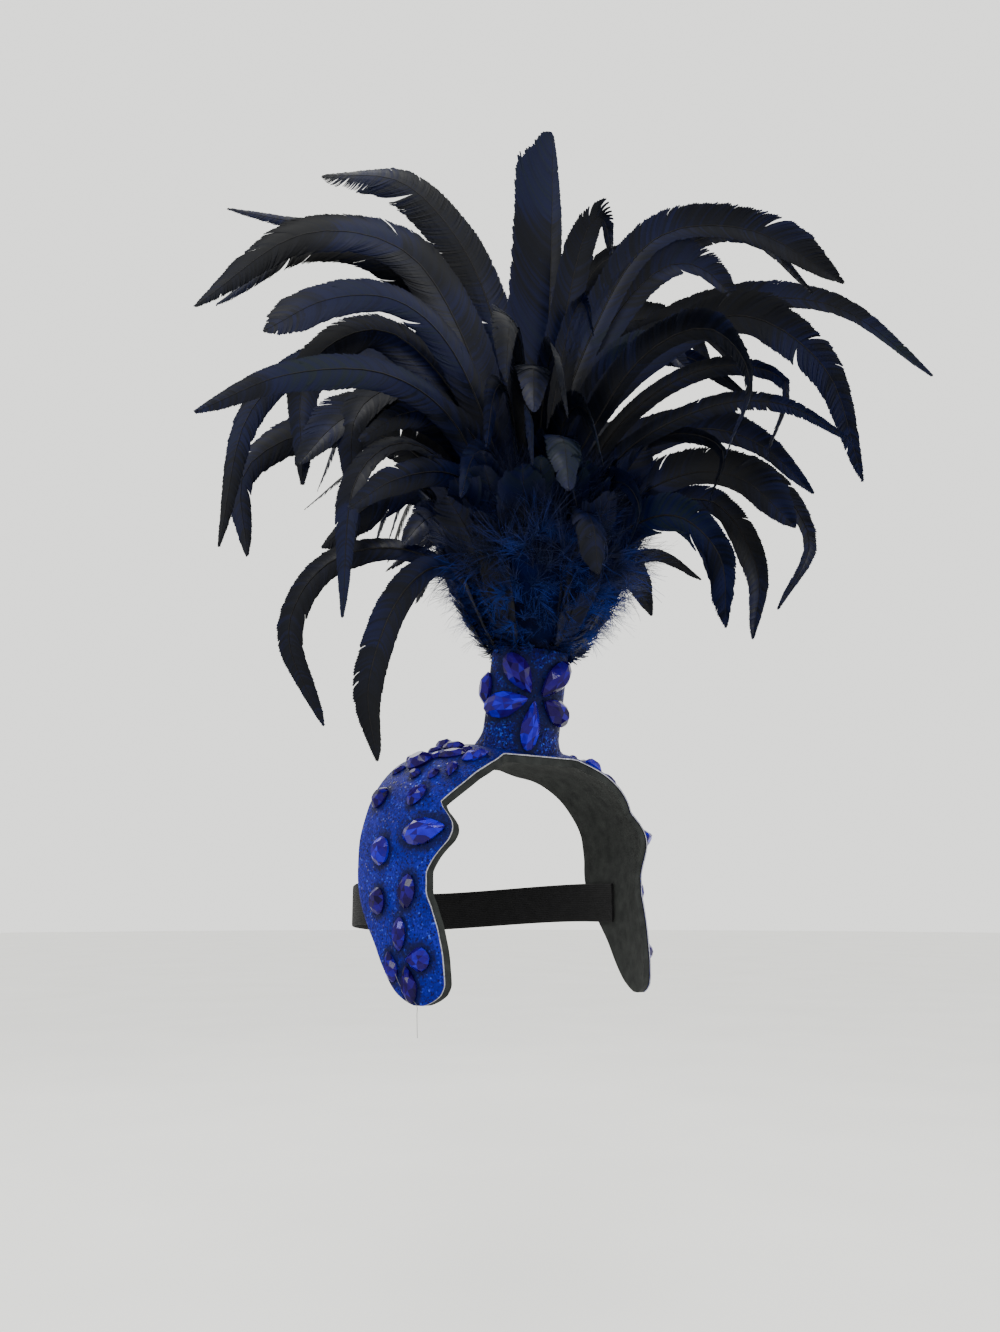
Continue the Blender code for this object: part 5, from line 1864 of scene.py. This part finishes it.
def feather_tree():
    tree, given, out = new_tree("barbs on quills", {
        "Barb Spacing": "Float", "Barb Sweep": "Float", "Barb Droop": "Float",
        "Quill Radius": "Float", "Seed": "Int", "Vane": "Material", "Quill": "Material"})
    lines = node(tree, "GeometryNodeMeshToCurve", {"Mesh": given.outputs["Geometry"]}).outputs[0]
    whole = joined(tree, barbs_branch(tree, given, lines), quills_branch(tree, given, lines))
    whole = node(tree, "GeometryNodeSetShadeSmooth", {"Geometry": whole}).outputs[0]
    whole = node(tree, "GeometryNodeRealizeInstances", {"Geometry": whole}).outputs[0]
    whole = node(tree, "GeometryNodeSetMaterial",
                 {"Geometry": whole, "Material": given.outputs["Vane"]}).outputs[0]
    bare = calc(tree, "GREATER_THAN", named(tree, "quill"), 0.5)
    whole = node(tree, "GeometryNodeSetMaterial", {
        "Geometry": whole, "Selection": bare, "Material": given.outputs["Quill"]}).outputs[0]
    tree.links.new(whole, out.inputs["Geometry"])
    return tree


# %% [markdown]
# Each group of feathers becomes one piece, and none of them grows past two hundred thousand
# triangles. Attributes that only the tree needed are taken off again.

# %% Make the feathers
FIRST_SEED = 40
KEPT_ATTRIBUTES = ("along", "lot", "share", "material_index", "sharp_face")


def tidy_attributes(mesh, kept):
    """Leaves only the attributes that the materials read."""
    for name in [a.name for a in mesh.attributes if not a.is_internal and not a.is_required]:
        if name not in kept:
            mesh.attributes.remove(mesh.attributes[name])


barbs_on_quills = feather_tree()
for index, (name, rows) in enumerate(FEATHER_GROUPS.items()):
    piece = lay_quills(name, rows, FIRST_SEED + index)
    run_tree(piece, barbs_on_quills, {
        "Barb Spacing": BARB_SPACING, "Barb Sweep": BARB_SWEEP, "Barb Droop": BARB_DROOP,
        "Quill Radius": QUILL_RADIUS, "Seed": index, "Vane": feather, "Quill": quill})
    tidy_attributes(piece.data, KEPT_ATTRIBUTES)
    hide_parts("feather_plume")
    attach(piece, "root")
    print(name, len(rows), "feathers", sum(len(p.vertices) - 2 for p in piece.data.polygons),
          "triangles")

# %% [markdown]
# ## The down
# Round the feathers' roots sits a collar of blue down. A down plume is a short soft stem whose
# barbs have no hooks, so they spread on their own. One plume is modelled as thin ribbons that
# fan out from its stem, and it serves for all.

# %% One down plume
PLUME_LENGTH = 0.026
PLUME_BARBS = 24
PLUME_FAN = 1.1
PLUME_LOTS = 9
BARB_PARTS = 5
FILAMENT_WIDTH = 0.00034
FILAMENT_TAPER = 0.75


def ribbon(points, faces, path, way, width):
    """Adds a flat ribbon along a path, tapered to its end, to lists of points and faces."""
    start = len(points)
    for k, place in enumerate(path):
        half = way * width * (1.0 - FILAMENT_TAPER * k / (len(path) - 1)) / 2.0
        points += [place - half, place + half]
    for k in range(len(path) - 1):
        corner = start + 2 * k
        faces.append((corner, corner + 1, corner + 3, corner + 2))


def make_down_plume():
    """A plume of down: soft filaments that fan out round +Z from a short common stem."""
    lots = random.Random(PLUME_LOTS)
    points, faces = [], []
    for k in range(PLUME_BARBS):
        fan = PLUME_FAN * (2.0 * k / (PLUME_BARBS - 1) - 1.0) + lots.uniform(-0.1, 0.1)
        lean, curl = lots.uniform(-0.35, 0.35), lots.uniform(-0.5, 0.5)
        length = PLUME_LENGTH * (1.0 - 0.35 * abs(fan)) * lots.uniform(0.6, 1.0)
        start = Vector((0.0, 0.0, PLUME_LENGTH * 0.25 * lots.random()))
        path = []
        for j in range(BARB_PARTS + 1):
            t = j / BARB_PARTS
            turn = fan * (0.55 + 0.45 * t)
            path.append(start + length * t * Vector((
                lean + curl * t, math.sin(turn), math.cos(turn))))
        way = Vector((0.3, math.cos(fan), -math.sin(fan)))
        ribbon(points, faces, path, way, FILAMENT_WIDTH)
    return make_object("down_plume", points, faces, [down])


# %% [markdown]
# Down is so dense at its heart that no light comes back from it. A lumpy body in painted
# shade, near black, stands for that heart, so no light shines through, and the plumes grow on
# its surface. It is narrow at the column's mouth and widest at half its height.

# %% The tuft's heart
TUFT_RADIUS = 0.0500
TUFT_HEIGHT = 0.0900
TUFT_CLEARANCE = 0.0006
TUFT_SIDES = 48
TUFT_SHARP = 80
LUMP_SHARE = 0.10
LUMP_SCALE = 2.2
# share of the height, share of the radius
TUFT_RINGS = [(0.00, 0.44), (0.10, 0.56), (0.30, 0.72), (0.52, 0.86), (0.78, 0.70), (1.00, 0.25)]


def make_core():
    foot, axis, across, depth = column_frame()
    points = []
    for share, swell in TUFT_RINGS:
        level = COLUMN_HEIGHT + TUFT_CLEARANCE + TUFT_HEIGHT * share
        for k in range(TUFT_SIDES):
            turn = 2.0 * math.pi * k / TUFT_SIDES
            spot = Vector((math.cos(turn), math.sin(turn), share * 2.0))
            radius = TUFT_RADIUS * swell * (1.0 + LUMP_SHARE * noise.noise(spot * LUMP_SCALE))
            points.append(foot + axis * level
                          + (across * math.cos(turn) + depth * math.sin(turn)) * radius)
    item = make_object("down_core", points, ring_faces(len(TUFT_RINGS), TUFT_SIDES), [heart])
    face_out(item.data, TUFT_SHARP)
    return item


# %% [markdown]
# Geometry Nodes scatter the plumes on the heart. Each stands off the surface and somewhat
# upwards, leans a little to a side of its own, and is smaller near the column, where the
# binding holds the down flat.

# %% Scatter the down
DOWN_PLUMES = 780.0
DOWN_SEED = 4
SMALLEST_PLUME = 0.75
LARGEST_PLUME = 1.5
UPWARD = (0.0, 0.0, 0.55)
LEAN = 0.6
SHORT_RUN = 0.042
SHORTEST = 0.28


def plume_size(tree, given):
    """A random size, shrunk towards the foot of the tuft."""
    size = node(tree, "FunctionNodeRandomValue", {
        2: given.outputs["Smallest"], 3: given.outputs["Largest"],
        "Seed": given.outputs["Seed"]}, data_type="FLOAT").outputs[1]
    height = node(tree, "ShaderNodeSeparateXYZ",
                  {0: node(tree, "GeometryNodeInputPosition").outputs[0]}).outputs[2]
    height = calc(tree, "DIVIDE", calc(tree, "SUBTRACT", height, given.outputs["Foot Level"]),
                  SHORT_RUN)
    height = calc(tree, "MULTIPLY_ADD", calc(tree, "MINIMUM", height, 1.0), 1.0 - SHORTEST,
                  SHORTEST)
    return calc(tree, "MULTIPLY", size, height)


def plume_turn(tree, normal):
    """Off the surface and upwards, with a random lean and a random turn about the stem."""
    lean = node(tree, "FunctionNodeRandomValue", {0: (-LEAN, -LEAN, -math.pi),
                                                  1: (LEAN, LEAN, math.pi)},
                data_type="FLOAT_VECTOR").outputs[0]
    outward = node(tree, "FunctionNodeAlignRotationToVector",
                   {"Vector": vector_calc(tree, "ADD", normal, UPWARD)}, axis="Z").outputs[0]
    return node(tree, "FunctionNodeRotateRotation", {
        "Rotation": outward,
        "Rotate By": node(tree, "FunctionNodeEulerToRotation", {0: lean}).outputs[0]},
        rotation_space="LOCAL").outputs[0]


def down_tree():
    tree, given, out = new_tree("down on a tuft", {
        "Density": "Float", "Smallest": "Float", "Largest": "Float", "Foot Level": "Float",
        "Seed": "Int", "Plume": "Object", "Material": "Material"})
    scatter = node(tree, "GeometryNodeDistributePointsOnFaces", {
        "Mesh": given.outputs["Geometry"], "Density": given.outputs["Density"],
        "Seed": given.outputs["Seed"]})
    copy = node(tree, "GeometryNodeObjectInfo", {"Object": given.outputs["Plume"],
                                                 "As Instance": True}).outputs["Geometry"]
    plumes = node(tree, "GeometryNodeInstanceOnPoints", {
        "Points": scatter.outputs["Points"], "Instance": copy,
        "Rotation": plume_turn(tree, scatter.outputs["Normal"]),
        "Scale": plume_size(tree, given)}).outputs[0]
    whole = node(tree, "GeometryNodeRealizeInstances", {"Geometry": plumes}).outputs[0]
    whole = node(tree, "GeometryNodeSetMaterial",
                 {"Geometry": whole, "Material": given.outputs["Material"]}).outputs[0]
    tree.links.new(whole, out.inputs["Geometry"])
    return tree


def make_down():
    core = make_core()
    plume = make_down_plume()
    fluff = new_object("down_fluff", core.data.copy())
    area = sum(face.area for face in core.data.polygons)
    run_tree(fluff, down_tree(), {
        "Density": DOWN_PLUMES / area, "Smallest": SMALLEST_PLUME, "Largest": LARGEST_PLUME,
        "Seed": DOWN_SEED, "Foot Level": min(v.co.z for v in core.data.vertices),
        "Plume": plume, "Material": down})
    bpy.data.objects.remove(plume, do_unlink=True)
    return core, fluff


for piece in make_down():
    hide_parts("feather_plume")
    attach(piece, "root")
    print(piece.name, len(piece.data.polygons), "faces")

# %% [markdown]
# ## Floor and light
# The headdress is held up as a head would hold it, so the floor lies well below it. It is a
# wide plain disc with a faint grain, of a pale grey that lets the dark feathers stand out.

# %% Floor
FLOOR_LEVEL = -0.46
FLOOR_RADIUS = 14.0
FLOOR_SIDES = 96


def make_floor():
    mesh = bpy.data.meshes.new("floor")
    sheet = bmesh.new()
    bmesh.ops.create_circle(sheet, cap_ends=True, segments=FLOOR_SIDES, radius=FLOOR_RADIUS)
    sheet.to_mesh(mesh)
    sheet.free()
    floor = new_object("floor", mesh)
    floor.location.z = FLOOR_LEVEL
    material, tree, shader = new_material("floor_paint", 0.75)
    grain = noise_of(tree, object_place(tree), 3.0, 3.0)
    colour = ramp(tree, grain, [(0.3, (0.80, 0.80, 0.78)), (0.7, (0.84, 0.84, 0.82))])
    plug_in(tree, shader, Base_Color=colour)
    mesh.materials.append(material)
    return floor


make_floor()

# %% [markdown]
# Dark glossy things show their form by what they mirror. The world gives an even pale light
# like a white room's, and three large soft lamps give the stones and feathers something
# brighter to mirror: one in front, a weak one at the other side, and one behind.

# %% Light
WORLD_COLOUR = (1.00, 1.00, 0.965)
WORLD_STRENGTH = 1.70
LAMP_TARGET = Vector((0.0, 0.0, 0.08))
# name, place, size, power
LAMPS = [("key", (-1.1, -1.5, 1.5), 0.8, 34.0), ("fill", (1.5, -1.2, 0.7), 1.2, 9.0),
         ("back", (0.3, 1.6, 1.5), 1.2, 14.0)]


def make_lamp(name, place, size, power):
    data = bpy.data.lights.new(name, "AREA")
    data.shape = "DISK"
    data.size = size
    data.energy = power
    lamp = new_object(name, data)
    lamp.location = place
    lamp.rotation_euler = (LAMP_TARGET - Vector(place)).to_track_quat("-Z", "Y").to_euler()


world = bpy.data.worlds.new("room")
world.use_nodes = True
background = world.node_tree.nodes["Background"]
background.inputs["Color"].default_value = (*WORLD_COLOUR, 1.0)
background.inputs["Strength"].default_value = WORLD_STRENGTH
bpy.context.scene.world = world
for name, place, size, power in LAMPS:
    make_lamp(name, place, size, power)
print("lamps", len(LAMPS))
